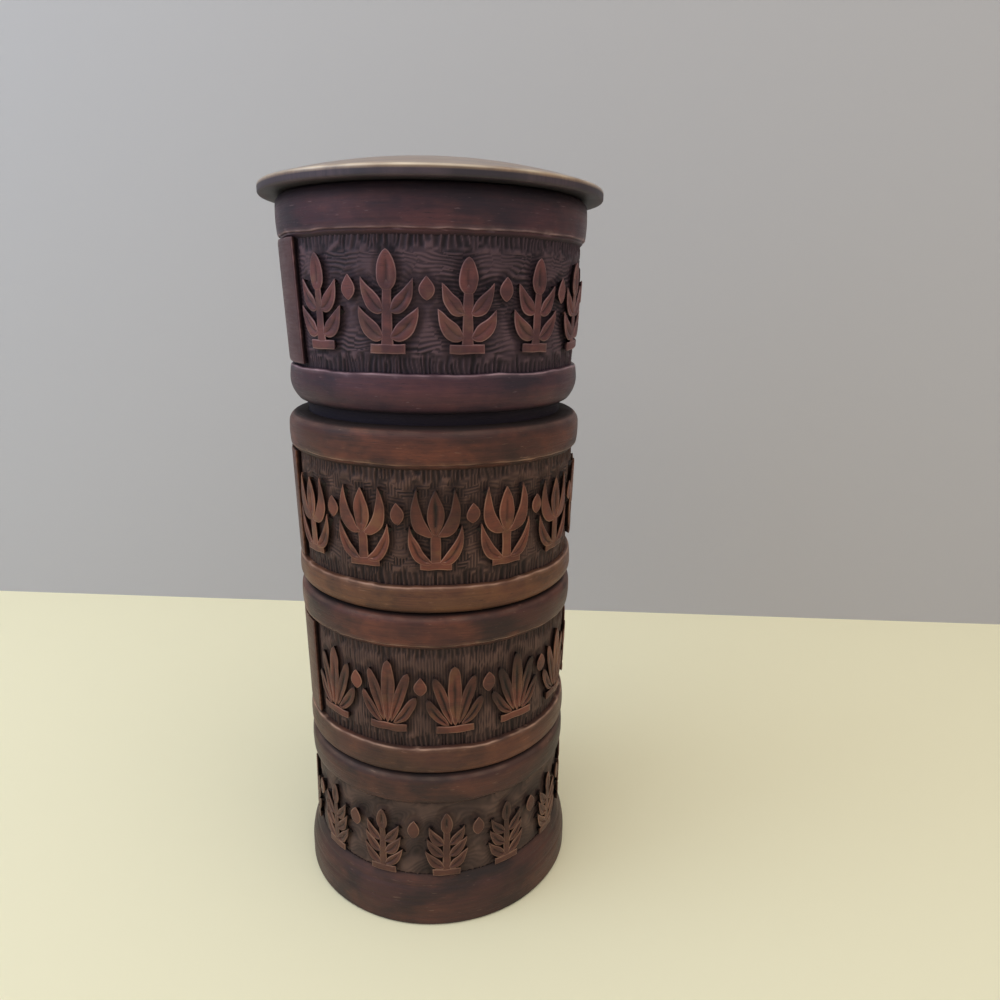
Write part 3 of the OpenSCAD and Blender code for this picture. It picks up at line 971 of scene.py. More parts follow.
@dataclass
class Tier:
    """One upper tier: two plain bands with a carved frieze between them, a spigot and a cup."""

    node: str
    skirt_r: float
    skirt_h: float
    skirt_round: float
    rim_r: float
    rim_h: float
    rim_round: float
    panel_edge: float
    tooling: Tooling
    motif: Motif
    seed: int
    tint: Colour = (1.0, 1.0, 1.0)
    rub: float = 1.0
    # Share of painted warm light from the table on the lower band
    table_bounce: float = 0.0
    worn: float = 1.0
    # Strength of the painted shade, with wax and dirt, beside the carving
    trench_wax_and_shade: float = 1.0
    relief_low: float = 4.4 * MM
    frieze_depth: float = 1.4 * MM
    arris: float = 0.5 * MM
    panel_span: float = 36.0
    set_back: float = 0.3 * MM
    wall_depth: float = 2.6 * MM
    soffit: float = 2.0 * MM
    notch: float = 0.8 * MM
    bulge: float = 0.35 * MM

    COLUMNS = 900
    FLUTE_COLUMNS = (3, 7)
    TURN_STEPS = 288
    FIELD_STEP = 0.25 * MM
    FRINGE_STEP = 0.7 * MM
    BAND_STEP = 0.7 * MM
    FLAT_STEP = 1.2 * MM
    SHELF_STEP = 1 * MM
    WALL_STEP = 8 * MM
    TUCK = 0.6 * MM
    MOTIFS = 12
    STUD_RISE = 3.2 * MM
    RELIEF_DEPTH = 1.9 * MM
    PANEL_FACES = (60, 40)
    PANEL_BORDER = 0.1 * MM

    # Waves of the hand's unevenness: most of them round the tower, and their usual length upwards
    SWELL = (9, 40 * MM)
    DRIFT = (16, 60 * MM)
    SHAKE = (70, 60 * MM)
    PATCHES = (40, 30 * MM)
    LEAN = (40, 14 * MM)
    TREMBLE = (60, 9 * MM, 12)

    # How far the outside strays: drift and shake of its edges are in millimetres
    LOOSE = (1 * MM, 3 * MM)
    WOBBLE = 0.06 * MM
    EDGE_DRIFT = 0.12
    EDGE_SHAKE = 0.05
    EDGE_REACH = 1.6 * MM
    BAND_END = 1.01

    # Nicks along the bands' edges, their widths in millimetres
    NICKS = 9
    NICK_WIDE = (0.5, 1.1)
    NICK_TALL = 0.3 * MM
    NICK_DEPTH = 0.3 * MM

    # Where the outside is rubbed, where painted shade and dirt darken it, and where painted warm light may
    # brighten the lower band
    WORN_INSET = 0.2 * MM
    WORN_TALL = 0.22 * MM
    SHOULDER_TALL = 0.3 * MM
    PROUD = (0.4 * MM, 0.1 * MM)
    RECESS_SHADE = (1.7 * MM, 0.9 * MM)
    LOW_FADE = 1 * MM
    RIM_DARKENING = 0.78

    # The ground, its gouge marks and how it dips beside the carving
    GROUND_T = 2 * MM
    GROUND_SMOOTH = 70
    GROUND_FRONT = (0.3 * MM, 0.6 * MM)
    NEAR = (0.9 * MM, 2.1 * MM)
    DIP = 0.28 * MM
    CALM = 0.55
    FLUTE_DEPTH = 0.5 * MM
    FLUTE_LEAN = 1.3
    FLUTE_LONG = (0.55, 1.1)
    FLUTE_VIGOUR = (0.65, 1.0)
    FLUTE_FADE = 0.72

    # Spread of each copy of a motif: lean in degrees, and shares of its size
    COPY_LEAN = 1.3
    COPY_SIZE = 0.02
    COPY_TILT = 0.012
    COPY_TREMOR = 0.09 * MM
    COPY_FOOT = 0.15 * MM

    def __post_init__(self) -> None:
        """Take the heights of the seat and the rim from the frame."""
        low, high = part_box(self.node)
        self.rim = high.z
        self.seat = self.seat_above(low.z)

    def seat_above(self, lowest: float) -> float:
        """Give the height of the seat above the node's lowest point."""
        return lowest + FIT.spigot_h

    @property
    def low_z(self) -> float:
        """Height where the frieze starts."""
        return self.seat + self.skirt_h

    @property
    def high_z(self) -> float:
        """Height where the frieze ends."""
        return self.rim - self.rim_h

    @property
    def low_r(self) -> float:
        """Radius of the band, or of what stands for it, under the frieze."""
        return self.skirt_r

    def band_radius(self, height: Array) -> Array:
        """Give the radius of the cone from the lower band to the rim band."""
        share = (height - self.low_z) / (self.high_z - self.low_z)
        return self.low_r + (self.rim_r - self.low_r) * share

    def lower_section(self) -> Section:
        """Draw the section from the middle of the underside up to the frieze."""
        section = FIT.spigot(self.seat)
        inner = self.skirt_r - self.skirt_round
        section.to(inner, self.seat, self.FLAT_STEP)
        section.round((inner, self.seat + self.skirt_round), self.skirt_round, -90, 0, 8)
        return self.up_to_frieze(section)

    def up_to_frieze(self, section: Section) -> Section:
        """Go on up the lower band to its rounded edge, where the frieze starts."""
        section.to(self.skirt_r, self.low_z - self.arris, self.BAND_STEP)
        return section.round((self.skirt_r - self.arris, self.low_z - self.arris), self.arris, 0, 90, 4)

    @property
    def floor(self) -> float:
        """Height of the cup's floor."""
        return self.seat + FIT.floor_t - FIT.spigot_h

    def section(self) -> list[Point]:
        """Draw the whole half section of the turned piece."""
        section = self.lower_section()
        section.to(self.low_r - self.wall_depth, self.low_z, self.SHELF_STEP)
        section.to(self.rim_r - self.wall_depth, self.high_z - self.soffit, self.WALL_STEP)
        section.to(self.rim_r - self.arris, self.high_z, self.BAND_STEP)
        section.round((self.rim_r - self.arris, self.high_z + self.arris), self.arris, -90, 0, 4)
        shoulder = self.rim_r - self.rim_round
        section.to(self.rim_r, self.rim - self.rim_round, self.BAND_STEP)
        section.round((shoulder, self.rim - self.rim_round), self.rim_round, 0, 90, 8)
        section.to(FIT.socket_r + FIT.mouth, self.rim, self.FLAT_STEP)
        return FIT.cup(section, self.rim, self.floor).points

    def arrises(self) -> tuple[float, ...]:
        """Give the heights of the edges where bands meet the frieze."""
        return (self.low_z, self.high_z)

    def build_turning(self, wood: BandWood, cup: CupWood) -> Piece:
        """Turn the piece, loosen its outside by hand, and dress it.

        Args:
            wood: Finish of the outside.
            cup: Finish of the cup, the socket and the underside.

        Returns:
            The turned piece.
        """
        piece = Bench.turned(f"{self.node}_turning", self.section(), self.TURN_STEPS)
        points = Points(piece)
        radius, azimuth, height = points.polar
        outside = step_up(radius, *(FIT.socket_r + gap for gap in self.LOOSE))
        swell = Waves(self.seed, *self.SWELL)(azimuth, height)
        drift = Waves(self.seed + 1, *self.DRIFT)(azimuth, height)
        shake = Waves(self.seed + 8, *self.SHAKE)(azimuth, height)
        near_edge = sum(ridge(height, z, self.EDGE_REACH) for z in self.arrises())
        uneven = (self.EDGE_DRIFT * drift + self.EDGE_SHAKE * shake) * MM
        chips = self.chips(azimuth, height)
        inwards = self.WOBBLE * (1 + swell) + self.hollowing(height) + self.NICK_DEPTH * chips
        self.mark_wear_light_and_shade(points, chips)
        points.place(radius - inwards * outside, azimuth, height + uneven * near_edge * outside)
        Bench.dress(piece, SMOOTH_ANGLE, wood, cup)
        inner = FIT.socket_r + FIT.mouth
        for face in piece.data.polygons:
            face.material_index = int(math.hypot(*face.center[:2]) < inner)
        return piece

    def bands(self) -> tuple[tuple[float, float], ...]:
        """Give the lower and upper height of each plain band."""
        return ((self.seat, self.low_z), (self.high_z, self.rim))

    def hollowing(self, height: Array) -> Array:
        """Give how far the bands draw in towards their ends, which leaves them full in the middle."""
        inwards = np.zeros_like(height)
        for low, high in self.bands():
            share = (2 * height - low - high) / (high - low)
            inwards += self.bulge * share**2 * (np.abs(share) < self.BAND_END)
        return inwards

    def chips(self, azimuth: Array, height: Array) -> Array:
        """Give 1 in the few nicks along the edges of the bands, and 0 elsewhere."""
        rng = np.random.default_rng(self.seed + 9)
        nicks = np.zeros_like(azimuth)
        for z in self.worn_lines():
            turns = rng.uniform(-math.pi, math.pi, self.NICKS)
            for turn, wide in zip(turns, rng.uniform(*self.NICK_WIDE, self.NICKS) * MM):
                along = np.abs((azimuth - turn + math.pi) % math.tau - math.pi) * self.rim_r
                nicks = np.maximum(nicks, ridge(along, 0, wide) * ridge(height, z, self.NICK_TALL))
        return nicks

    def mark_wear_light_and_shade(self, points: Points, chips: Array) -> None:
        """Mark where the outside is rubbed pale, where it lies below the frieze for painted warm light from
        the table, and where painted shade and dirt darken it.

        Args:
            points: The turned piece's points, before they are loosened.
            chips: The nicks along the bands' edges, from 0 to 1.
        """
        radius, azimuth, height = points.polar
        patchy = 0.65 + 0.35 * Waves(self.seed + 2, *self.PATCHES)(azimuth, height)
        band = self.band_radius(height)
        proud = step_up(radius, *(band - gap for gap in self.PROUD))
        low = step_down(height, self.low_z, self.low_z + self.LOW_FADE)
        lines = sum(ridge(height, z, self.WORN_TALL) for z in self.worn_lines())
        wear = lines * proud * patchy * (1 + 0.6 * low)
        shoulder = ridge(height, self.rim - 0.35 * self.rim_round, self.SHOULDER_TALL)
        rounded = shoulder * step_up(radius, band - self.rim_round, band)
        # Recessed faces inside the bands get painted shade, with dirt
        recess_shade = step_down(radius, *(band - gap for gap in self.RECESS_SHADE))
        darkened_parts = (self.rim_darkening(height), self.shoulder_darkening(height), recess_shade)
        points.mark("wear", np.maximum.reduce((wear, 0.3 * rounded * patchy, 0.8 * chips)))
        points.mark("low", low)
        points.mark("shade_and_dirt", np.maximum.reduce(darkened_parts))

    def rim_darkening(self, height: Array) -> Array:
        """Give the painted shade and dirt where the piece above stands on the rim, from 0 to 1."""
        high = (self.rim - share * self.rim_round for share in (0.25, 0.05))
        return self.RIM_DARKENING * step_up(height, *high)

    def worn_lines(self) -> tuple[float, ...]:
        """Give the heights of the lines that hands have rubbed, just inside the bands' edges."""
        return (self.low_z - self.WORN_INSET, self.high_z + self.WORN_INSET)

    def shoulder_darkening(self, height: Array) -> Array:
        """Give the painted shade and dirt under the shoulder, from 0 to 1."""
        return step_down(height, *(self.seat + share * self.skirt_round for share in (0.1, 0.55)))

    def ground_rows(self) -> list[float]:
        """Give the heights of the rows of faces that the frieze's ground is cut in."""
        fringe = self.relief_low
        low, high = self.low_z - self.TUCK, self.high_z + self.TUCK
        stops = (low, self.low_z + fringe, self.high_z - fringe, high)
        steps = (self.FRINGE_STEP, self.FIELD_STEP, self.FRINGE_STEP)
        rows: list[float] = []
        for start, end, step in zip(stops, stops[1:], steps):
            rows += list(np.linspace(start, end, math.ceil((end - start) / step), endpoint=False))
        return rows + [high]

    def build_ground(self, relief: Piece, wood: GroundWood) -> Piece:
        """Cut the frieze's sunk ground: a fringe of gouge marks along each band and a tooled field.

        Args:
            relief: The carving, which the ground dips towards.
            wood: Finish of the ground.

        Returns:
            The ground, a closed ring.
        """
        rows = self.ground_rows()
        line = [(float(self.band_radius(np.array(z))) - self.frieze_depth, z) for z in rows]
        back = min(r for r, _ in line) - self.GROUND_T
        ring = line + [(back, rows[-1]), (back, rows[0]), line[0]]
        piece = Bench.finely_turned(f"{self.node}_ground", ring, self.COLUMNS)
        points = Points(piece)
        radius, azimuth, height = points.polar
        front = step_up(radius, *(back + gap for gap in self.GROUND_FRONT))
        near = self.nearness(points, relief)
        depth, crest = self.cuts(azimuth, height)
        points.mark("crest", crest)
        # Beside the carving: painted shade, with the wax and dirt that gather there
        points.mark("trench_wax_and_shade", near * self.trench_wax_and_shade)
        sunk = depth * (1 - self.CALM * near) + self.DIP * near
        points.place(radius - front * sunk, azimuth, height)
        Bench.dress(piece, self.GROUND_SMOOTH, wood)
        return piece

    def nearness(self, points: Points, relief: Piece) -> Array:
        """Give 1 beside or under the carving, falling to 0 two millimetres away."""
        tree = KDTree(len(relief.data.vertices))
        for i, vertex in enumerate(relief.data.vertices):
            tree.insert(vertex.co, i)
        tree.balance()
        gap = np.array([tree.find(Vector(place))[2] for place in points.at])
        return step_down(gap, *self.NEAR)

    def cuts(self, azimuth: Array, height: Array) -> tuple[Array, Array]:
        """Work out how deep the tools went, and how near each point lies to an uncut crest.

        Args:
            azimuth: Azimuth of each point.
            height: Height of each point.

        Returns:
            The depth in metres and the crest from 0 to 1.
        """
        rng = np.random.default_rng(self.seed + 3)
        column = np.rint(azimuth / math.tau * self.COLUMNS).astype(int) % self.COLUMNS
        lean = Waves(self.seed + 6, *self.LEAN)(azimuth, height)
        upper = height > 0.5 * (self.low_z + self.high_z)
        place = (column + self.FLUTE_LEAN * lean + self.COLUMNS / 3 * upper) % self.COLUMNS
        stops = np.cumsum(rng.integers(*self.FLUTE_COLUMNS, self.COLUMNS))
        starts = np.concatenate(([0], stops))
        flute = np.searchsorted(stops, place, side="right")
        across = (place - starts[flute]) / (stops - starts[:-1])[flute]
        scoop = (4 * across * (1 - across)) ** 0.7
        gap = np.minimum(height - self.low_z, self.high_z - height)
        end = self.relief_low * rng.uniform(*self.FLUTE_LONG, self.COLUMNS)[flute]
        vigour = rng.uniform(*self.FLUTE_VIGOUR, self.COLUMNS)[flute]
        fringe = step_down(gap, end * self.FLUTE_FADE, end)
        field = Field(azimuth, height, column, self.rim_r, self.seed)
        ways = {
            Tooling.RIPPLE: field.ripple,
            Tooling.BASKET: field.basket,
            Tooling.HATCH: field.hatch,
            Tooling.SCRAPED: field.scraped,
        }
        field_depth, field_crest = ways[self.tooling](rng)
        gouge = self.FLUTE_DEPTH * scoop * vigour
        depth = fringe * gouge + (1 - fringe) * field_depth
        crest = fringe * (1 - scoop * vigour) + (1 - fringe) * field_crest
        return depth, crest

    def build_relief(self, wood: ReliefWood) -> Piece:
        """Carve one motif flat, set copies round the frieze, and leave room for the plain panel.

        Args:
            wood: Finish of the carving.

        Returns:
            The carving, standing on the frieze.
        """
        rng = np.random.default_rng(self.seed + 7)
        first = self.motif.carve()
        stud = LOZENGE.carve()
        gap = (360 - self.panel_span) / self.MOTIFS
        middle = 0.5 * (self.low_z + self.high_z)
        slips = []
        for i in range(self.MOTIFS):
            azimuth = -self.panel_edge + gap * (i + 0.5)
            slips.append(self.wrapped(first, azimuth, self.low_z + self.relief_low, rng))
            if i:
                slips.append(self.wrapped(stud, azimuth - gap / 2, middle + self.STUD_RISE, rng))
        slips.append(self.panel())
        bpy.data.objects.remove(first)
        bpy.data.objects.remove(stud)
        piece = Bench.joined(f"{self.node}_relief", slips)
        Bench.thickened(piece, self.RELIEF_DEPTH)
        points = Points(piece)
        top = self.band_radius(points.height) - self.set_back
        rise = 1 - (top - points.radius) / (self.frieze_depth - self.set_back)
        turn = (-np.degrees(points.azimuth) - self.panel_edge) % 360
        points.mark("plain", (turn < self.panel_span).astype(float))
        points.mark("rise", rise)
        Bench.dress(piece, SMOOTH_ANGLE, wood)
        return piece

    def wrapped(self, flat: Piece, azimuth: float, foot: float, rng: np.random.Generator) -> Piece:
        """Copy a flat carving onto the frieze, a little differently each time as by hand.

        Args:
            flat: The carving, flat, its foot at the origin.
            azimuth: Azimuth of its middle, in degrees.
            foot: Height of its foot.
            rng: Source of the differences.

        Returns:
            The copy.
        """
        piece = Bench.copied(flat)
        points = Points(piece)
        lean = math.radians(rng.normal(0, self.COPY_LEAN))
        size = 1 + rng.normal(0, self.COPY_SIZE, 2)
        x = points.at[:, 0] * size[0]
        y = points.at[:, 1] * size[1]
        x, y = x * math.cos(lean) + y * math.sin(lean), y * math.cos(lean) - x * math.sin(lean)
        unsteady = Waves(int(rng.integers(1 << 30)), *self.TREMBLE)
        x = x + self.COPY_TREMOR * unsteady(x / self.rim_r, y)
        y = y + self.COPY_TREMOR * unsteady(x / self.rim_r + 0.5, y) + rng.normal(0, self.COPY_FOOT)
        tilt = rng.normal(0, self.COPY_TILT, 2)
        top = self.band_radius(foot + y) - self.set_back
        sink = points.at[:, 2] - np.abs(tilt[0] * x) - np.abs(tilt[1] * y)
        points.place(top + sink, math.radians(azimuth) + x / top, foot + y)
        return piece

    def panel(self) -> Piece:
        """Shape the plain panel that interrupts the carving."""
        slip = Bench.slip("panel", *self.PANEL_FACES)
        points = Points(slip)
        tall = self.high_z - self.low_z - 2 * self.notch
        wide = math.radians(self.panel_span)
        height = self.low_z + self.notch + (points.at[:, 1] + 0.5) * tall
        azimuth = math.radians(-self.panel_edge) + (points.at[:, 0] - 0.5) * wide
        border = np.minimum(
            (0.5 - np.abs(points.at[:, 0])) * wide * self.rim_r, (0.5 - np.abs(points.at[:, 1])) * tall
        )
        edge = border < self.PANEL_BORDER
        drop = Stroke.EDGE_DROP * edge
        points.place(self.band_radius(height) - self.set_back - drop, azimuth, height)
        points.mark("edge", Stroke.END_MARK * edge)
        return slip

    def build(self) -> list[Piece]:
        """Build and dress all of the tier's pieces, and set them on its body."""
        relief = self.build_relief(ReliefWood(f"{self.node}_relief_wood", self.seed, self.tint, self.worn))
        ground = self.build_ground(relief, GroundWood(f"{self.node}_ground_wood", self.seed, self.tint))
        turning = self.build_turning(
            BandWood(f"{self.node}_band_wood", self.seed, self.tint, self.rub, self.table_bounce),
            CupWood(f"{self.node}_cup_wood", self.seed),
        )
        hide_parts(self.node)
        for piece in (turning, ground, relief):
            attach(piece, self.node)
        return [turning, ground, relief]


@dataclass
class BaseTier(Tier):
    """The bottom tier, which has a flared foot in place of the lower band."""

    foot_r: float = 38.2 * MM
    foot_edge_h: float = 4.5 * MM
    foot_sweep: float = 15.6 * MM
    foot_round: float = 0.8 * MM
    foot_ring_w: float = 7.0 * MM
    foot_hollow: float = 1.5 * MM
    foot_lines: tuple[float, ...] = (10.9 * MM, 7.2 * MM)

    LINE_TALL = 0.4 * MM
    LINE_DEPTH = 0.14 * MM
    FOOT_DARKENING = 0.5
    FOOT_DARKENING_H = 1.2 * MM

    def seat_above(self, lowest: float) -> float:
        """The base stands on its foot, so its seat is its lowest point."""
        return lowest

    @property
    def floor(self) -> float:
        """Height of the cup's floor."""
        return self.seat + FIT.floor_t

    def lower_section(self) -> Section:
        """Draw the foot's section, from the middle of its hollow up to the frieze."""
        section = Section(0, self.foot_hollow)
        section.dished(self.foot_r - self.foot_ring_w, self.seat, self.foot_hollow)
        section.to(self.foot_r - self.foot_round, self.seat)
        section.round((self.foot_r - self.foot_round, self.foot_round), self.foot_round, -90, 0, 4)
        section.to(self.foot_r, self.foot_edge_h, self.BAND_STEP)
        end = math.degrees(math.asin((self.low_z - self.foot_edge_h) / self.foot_sweep))
        centre = (self.foot_r - self.foot_sweep, self.foot_edge_h)
        return section.round(centre, self.foot_sweep, 0, end, 30)

    def arrises(self) -> tuple[float, ...]:
        """The foot runs into the frieze, so only the rim band has an edge there."""
        return (self.high_z,)

    def worn_lines(self) -> tuple[float, ...]:
        """Give the height of the line that hands have rubbed along the rim band."""
        return (self.high_z + self.WORN_INSET,)

    def bands(self) -> tuple[tuple[float, float], ...]:
        """Give the lower and upper height of the rim band, the only plain one."""
        return ((self.high_z, self.rim),)

    def hollowing(self, height: Array) -> Array:
        """Give how far the rim band draws in towards its ends, and the faint lines turned on the foot."""
        lines = sum(ridge(height, z, self.LINE_TALL) for z in self.foot_lines)
        return super().hollowing(height) + self.LINE_DEPTH * lines

    def shoulder_darkening(self, height: Array) -> Array:
        """Give how much darker the foot is towards the bottom, where it stands on the table, from 0 to 1.
        """
        return self.FOOT_DARKENING * step_down(height, self.seat, self.seat + self.FOOT_DARKENING_H)


@dataclass
class NeckedTier(Tier):
    """A tier whose lower band is drawn in by a curve and stands clear of the tier below on a neck."""

    neck_r: float = 33.0 * MM
    neck_h: float = 2.9 * MM
    sweep: float = 9.0 * MM
    sweep_h: float = 5.8 * MM
    edge_ease: float = 4.0

    NECK_STEP = 0.8 * MM
    EDGE_INSET = 0.4 * MM
    LID_SHADE = 0.82
    LID_SHADE_H = (4.2 * MM, 1.4 * MM)
    NECK_SHADE_H = (0.05 * MM, 0.7 * MM)

    def lower_section(self) -> Section:
        """Draw the section from the middle of the underside, round the neck and up to the frieze."""
        section = FIT.spigot(self.seat)
        edge_z = self.seat + self.neck_h
        section.to(self.neck_r, self.seat, self.FLAT_STEP).to(self.neck_r, edge_z, self.NECK_STEP)
        centre = (self.skirt_r - self.sweep, edge_z + self.sweep_h)
        start = -math.degrees(math.asin(self.sweep_h / self.sweep))
        edge_r = centre[0] + self.sweep * math.cos(math.radians(start))
        section.to(edge_r - self.EDGE_INSET, edge_z, self.NECK_STEP)
        section.round(centre, self.sweep, start + self.edge_ease, 0, 12)
        return self.up_to_frieze(section)

    def bands(self) -> tuple[tuple[float, float], ...]:
        """Give the lower and upper height of each plain band, the lower one above its neck."""
        return ((self.seat + self.neck_h, self.low_z), (self.high_z, self.rim))

    def rim_darkening(self, height: Array) -> Array:
        """Give the painted shade and dirt on the rim and, fading downwards, the painted shadow under the
        lid's overhang, from 0 to 1.
        """
        shaded = self.LID_SHADE * step_up(height, *(self.rim - drop for drop in self.LID_SHADE_H))
        return np.maximum(super().rim_darkening(height), shaded)

    def shoulder_darkening(self, height: Array) -> Array:
        """Give the painted shade on the neck and under the band, in the gap above the tier below, from 0 to
        1.
        """
        edge_z = self.seat + self.neck_h
        return step_down(height, *(edge_z + rise for rise in self.NECK_SHADE_H))


@dataclass
class Lid:
    """The thin overhanging lid with its shallow dome."""

    node: str = "lid"
    seed: int = 61
    radius: float = 42.2 * MM
    dome_h: float = 6.5 * MM
    edge_round: float = 0.7 * MM
    under_round: float = 0.5 * MM
    overhang: float = 5.0 * MM

    TURN_STEPS = 288
    FLAT_STEP = 1.2 * MM
    EDGE_STEP = 0.6 * MM
    SWELL = (8, 60 * MM)
    PATCHES = (30, 40 * MM)
    WOBBLE = 0.08 * MM
    WOBBLE_FROM = 1 * MM
    CREST_DROP = 0.12 * MM
    CREST_TALL = 0.3 * MM
    CREST_WIDE = (1.1 * MM, 0.5 * MM)
    SIDE_FADE = (0.7 * MM, 0.3 * MM)
    UNDER_FADE = (1.0 * MM, 2.4 * MM)

    def __post_init__(self) -> None:
        """Take the heights of the seat and the dome from the frame."""
        low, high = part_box(self.node)
        self.seat = low.z + FIT.spigot_h
        self.apex = high.z

    def section(self) -> list[Point]:
        """Draw the half section, from the middle of the spigot round to the top of the dome."""
        section = FIT.spigot(self.seat)
        inner = self.radius - self.under_round
        section.to(inner, self.seat, self.FLAT_STEP)
        section.round((inner, self.seat + self.under_round), self.under_round, -90, 0, 4)
        dome_r = (self.radius**2 + self.dome_h**2) / (2 * self.dome_h)
        dome_z = self.apex - dome_r
        round_r = self.radius - self.edge_round
        round_z = dome_z + math.sqrt((dome_r - self.edge_round) ** 2 - round_r**2)
        section.to(self.radius, round_z, self.EDGE_STEP)
        touch = math.degrees(math.atan2(round_z - dome_z, round_r))
        section.round((round_r, round_z), self.edge_round, 0, touch, 8)
        return section.round((0, dome_z), dome_r, touch, 90, 24).points

    def mark_wear_light_and_shade(self, points: Points) -> None:
        """Mark the dark side and underside, the line along the edge that is rubbed bare and painted bright
        as a highlight, and the painted shade under the overhang.
        """
        radius, azimuth, height = points.polar
        crest = self.apex - self.dome_h - self.CREST_DROP
        edge = step_up(radius, *(self.radius - gap for gap in self.CREST_WIDE))
        crown = ridge(height, crest, self.CREST_TALL) * edge
        below = step_down(height, *(crest - fade for fade in self.SIDE_FADE))
        patchy = 0.6 + 0.4 * Waves(self.seed + 1, *self.PATCHES)(azimuth, height)
        # The edge line is brightest at the front and back, as the painted highlight is; thumbs lifting the
        # lid also rub it there
        front_and_back = 0.3 + 0.7 * np.cos(azimuth) ** 2
        inside = self.radius - radius
        under = step_up(inside, *self.UNDER_FADE) * step_down(inside, self.overhang, 1.2 * self.overhang)
        points.mark("handled", below)
        points.mark("wear", crown * patchy * front_and_back)
        # Painted shade on the underside, under the overhang
        points.mark("shade_and_dirt", below * under)

    def build(self) -> list[Piece]:
        """Turn the lid, leave it a little uneven, and dress it."""
        piece = Bench.turned(f"{self.node}_turning", self.section(), self.TURN_STEPS)
        points = Points(piece)
        radius, azimuth, height = points.polar
        outer = step_up(radius, FIT.spigot_r + self.WOBBLE_FROM, self.radius)
        swell = Waves(self.seed, *self.SWELL)(azimuth, height)
        self.mark_wear_light_and_shade(points)
        points.place(radius - self.WOBBLE * (1 + swell) * outer, azimuth, height)
        wood, spigot_wood = LidWood("lid_wood", self.seed), CupWood("lid_spigot_wood", self.seed)
        Bench.dress(piece, SMOOTH_ANGLE, wood, spigot_wood)
        for face in piece.data.polygons:
            face.material_index = int(face.center.z < self.seat - WELD)
        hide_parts(self.node)
        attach(piece, self.node)
        return [piece]


@dataclass(frozen=True)
class Lamp:
    """A square lamp that faces a point."""

    name: str
    place: Place
    aim_at: Place
    size: float
    watts: float
    colour: Colour

    def hang(self) -> None:
        """Add the lamp to the scene."""
        bpy.ops.object.light_add(type="AREA", location=self.place)
        lamp = bpy.context.active_object
        lamp.name = self.name
        lamp.data.size = self.size
        lamp.data.energy = self.watts
        lamp.data.color = self.colour
        aim = Vector(self.aim_at) - Vector(self.place)
        lamp.rotation_euler = aim.to_track_quat("-Z", "Y").to_euler()


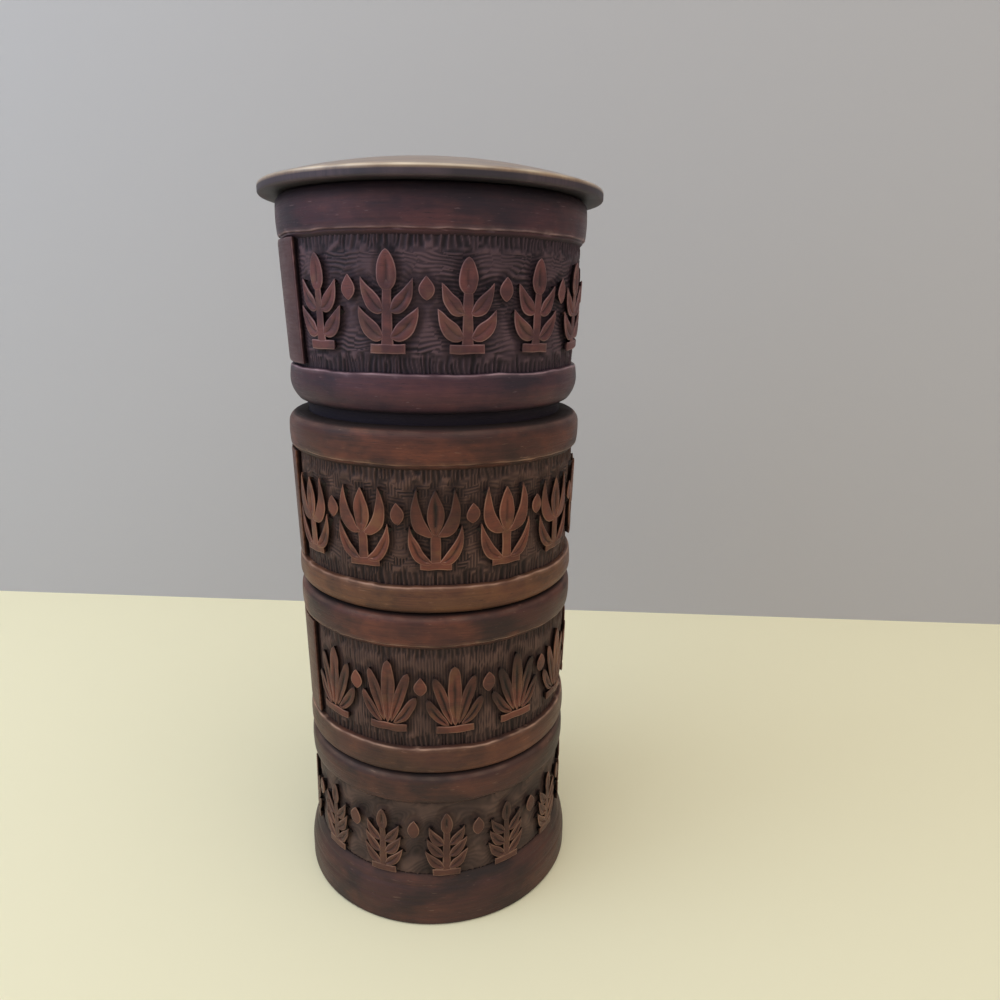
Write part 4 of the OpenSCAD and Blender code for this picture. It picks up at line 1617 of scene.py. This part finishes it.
@dataclass(frozen=True)
class Studio:
    """Plain pale table and wall, soft light from the left, and the camera."""

    table: Colour = (0.87, 0.80, 0.55)
    wall: Colour = (0.455, 0.432, 0.440)
    wall_gap: float = 176 * MM
    wall_turn: float = -8.1
    sheet_size: float = 4
    matt: float = 0.7
    room: Colour = (0.74, 0.85, 1.0)
    room_level: float = 0.34
    middle: Place = (0, 0, 95 * MM)
    eye: Place = (0, -199.95 * MM, 159.87 * MM)
    pitch: float = 15.0
    yaw: float = 5.03
    roll: float = 0.707
    lens_px: float = 745
    frame_px: float = 1000
    sensor_mm: float = 36
    clip_start: float = 10 * MM

    def stage(self) -> None:
        """Set up the table and the wall behind it."""
        sheets = (
            ("table", self.table, (0, 0, 0), (0, 0, 0)),
            ("wall", self.wall, (0, self.wall_gap, 0), (math.pi / 2, 0, math.radians(self.wall_turn))),
        )
        for name, colour, place, turn in sheets:
            bpy.ops.object.select_all(action="DESELECT")
            bpy.ops.mesh.primitive_plane_add(size=self.sheet_size, location=place, rotation=turn)
            sheet = bpy.context.active_object
            sheet.name = name
            sheet.data.materials.append(self.one_sided(name, colour))

    def one_sided(self, name: str, colour: Colour) -> bpy.types.Material:
        """Build a matt finish that is clear from behind, so that the tower shows from every side."""
        tree = Tree(name)
        material = tree.shade(base_color=colour, roughness=self.matt)
        behind = tree.node("ShaderNodeNewGeometry").outputs["Backfacing"]
        clear = tree.node("ShaderNodeBsdfTransparent").outputs[0]
        mixed = tree.node("ShaderNodeMixShader", None, {0: behind, 1: tree.shader.outputs[0], 2: clear})
        tree.links.new(mixed.outputs[0], tree.nodes["Material Output"].inputs["Surface"])
        return material

    def light(self) -> None:
        """Hang the lamps and set the level of the room."""
        world = bpy.data.worlds.new("room")
        world.use_nodes = True
        background = world.node_tree.nodes["Background"]
        background.inputs["Color"].default_value = (*self.room, 1)
        background.inputs["Strength"].default_value = self.room_level
        bpy.context.scene.world = world
        wall = (-0.20, self.wall_gap, 0.25)
        for lamp in (
            Lamp("window", (-0.85, -0.40, 0.45), self.middle, 0.9, 2.9, (0.56, 0.74, 1.0)),
            Lamp("ceiling", (-0.02, -0.45, 1.15), self.middle, 1.9, 15.0, (1.0, 0.95, 0.87)),
            Lamp("fill", (0.90, -0.50, 0.50), self.middle, 0.8, 0.8, (1.0, 0.84, 0.66)),
            Lamp("wash", (-0.55, -0.05, 0.55), wall, 0.5, 1.15, (0.66, 0.80, 1.0)),
        ):
            lamp.hang()

    def camera(self) -> None:
        """Set the camera where the photograph was taken from."""
        pitch, yaw, roll = (math.radians(angle) for angle in (self.pitch, self.yaw, self.roll))
        right = Vector((math.cos(yaw), -math.sin(yaw), 0))
        level = Vector((math.sin(yaw), math.cos(yaw), 0))
        ahead = level * math.cos(pitch) - Vector((0, 0, math.sin(pitch)))
        up = level * math.sin(pitch) + Vector((0, 0, math.cos(pitch)))
        side = right * math.cos(roll) + up * math.sin(roll)
        top = up * math.cos(roll) - right * math.sin(roll)
        bpy.ops.object.camera_add()
        camera = bpy.context.active_object
        camera.name = "camera"
        turn = Matrix((side, top, -ahead)).transposed().to_4x4()
        camera.matrix_world = Matrix.Translation(Vector(self.eye)) @ turn
        camera.data.sensor_width = self.sensor_mm
        camera.data.lens = camera.data.sensor_width * self.lens_px / self.frame_px
        camera.data.clip_start = self.clip_start
        bpy.context.scene.camera = camera

    def build(self) -> None:
        """Set up the stage, the light and the camera."""
        self.stage()
        self.light()
        self.camera()
        bpy.context.scene.view_settings.view_transform = "Standard"


TIERS = (
    BaseTier(
        node="base_tier", skirt_r=36.65 * MM, skirt_h=13.6 * MM, skirt_round=0, rim_r=36.6 * MM,
        rim_h=8.3 * MM, rim_round=2.2 * MM, panel_edge=92, tooling=Tooling.SCRAPED, motif=EAR, seed=41,
        tint=(0.97, 1.06, 1.05), rub=0.6, worn=0.4, trench_wax_and_shade=0.45, relief_low=0.4 * MM, arris=1.2 * MM,
    ),
    Tier(
        node="third_tier", skirt_r=36.55 * MM, skirt_h=7.9 * MM, skirt_round=2.4 * MM, rim_r=37.2 * MM,
        rim_h=7.9 * MM, rim_round=2.2 * MM, panel_edge=61, tooling=Tooling.HATCH, motif=PALMETTE, seed=31,
        table_bounce=0.35,
    ),
    Tier(
        node="second_tier", skirt_r=37.2 * MM, skirt_h=7.4 * MM, skirt_round=3 * MM, rim_r=38.05 * MM,
        rim_h=8.4 * MM, rim_round=2.6 * MM, panel_edge=68, tooling=Tooling.BASKET, motif=TULIP, seed=21,
        tint=(1.0, 0.98, 0.98), table_bounce=0.8,
    ),
    NeckedTier(
        node="first_tier", skirt_r=37.15 * MM, skirt_h=11.8 * MM, skirt_round=0, rim_r=38.5 * MM,
        rim_h=9.4 * MM, rim_round=2 * MM, panel_edge=56.5, tooling=Tooling.RIPPLE, motif=SPRIG, seed=11,
        # The first tier's blue tint stands in for cool window light: painted light on its bands, ground and
        # carving
        tint=(0.92, 1.0, 1.55), rub=0.5, worn=0.9,
    ),
)


def main() -> None:
    """Build the studio and the tower, and report each piece."""
    logging.basicConfig(level=logging.INFO, format="%(name)s: %(message)s")
    Studio().build()
    for part in (*TIERS, Lid()):
        for piece in part.build():
            log.info("%s: %d faces", piece.name, len(piece.data.polygons))


if __name__ == "__main__":
    main()
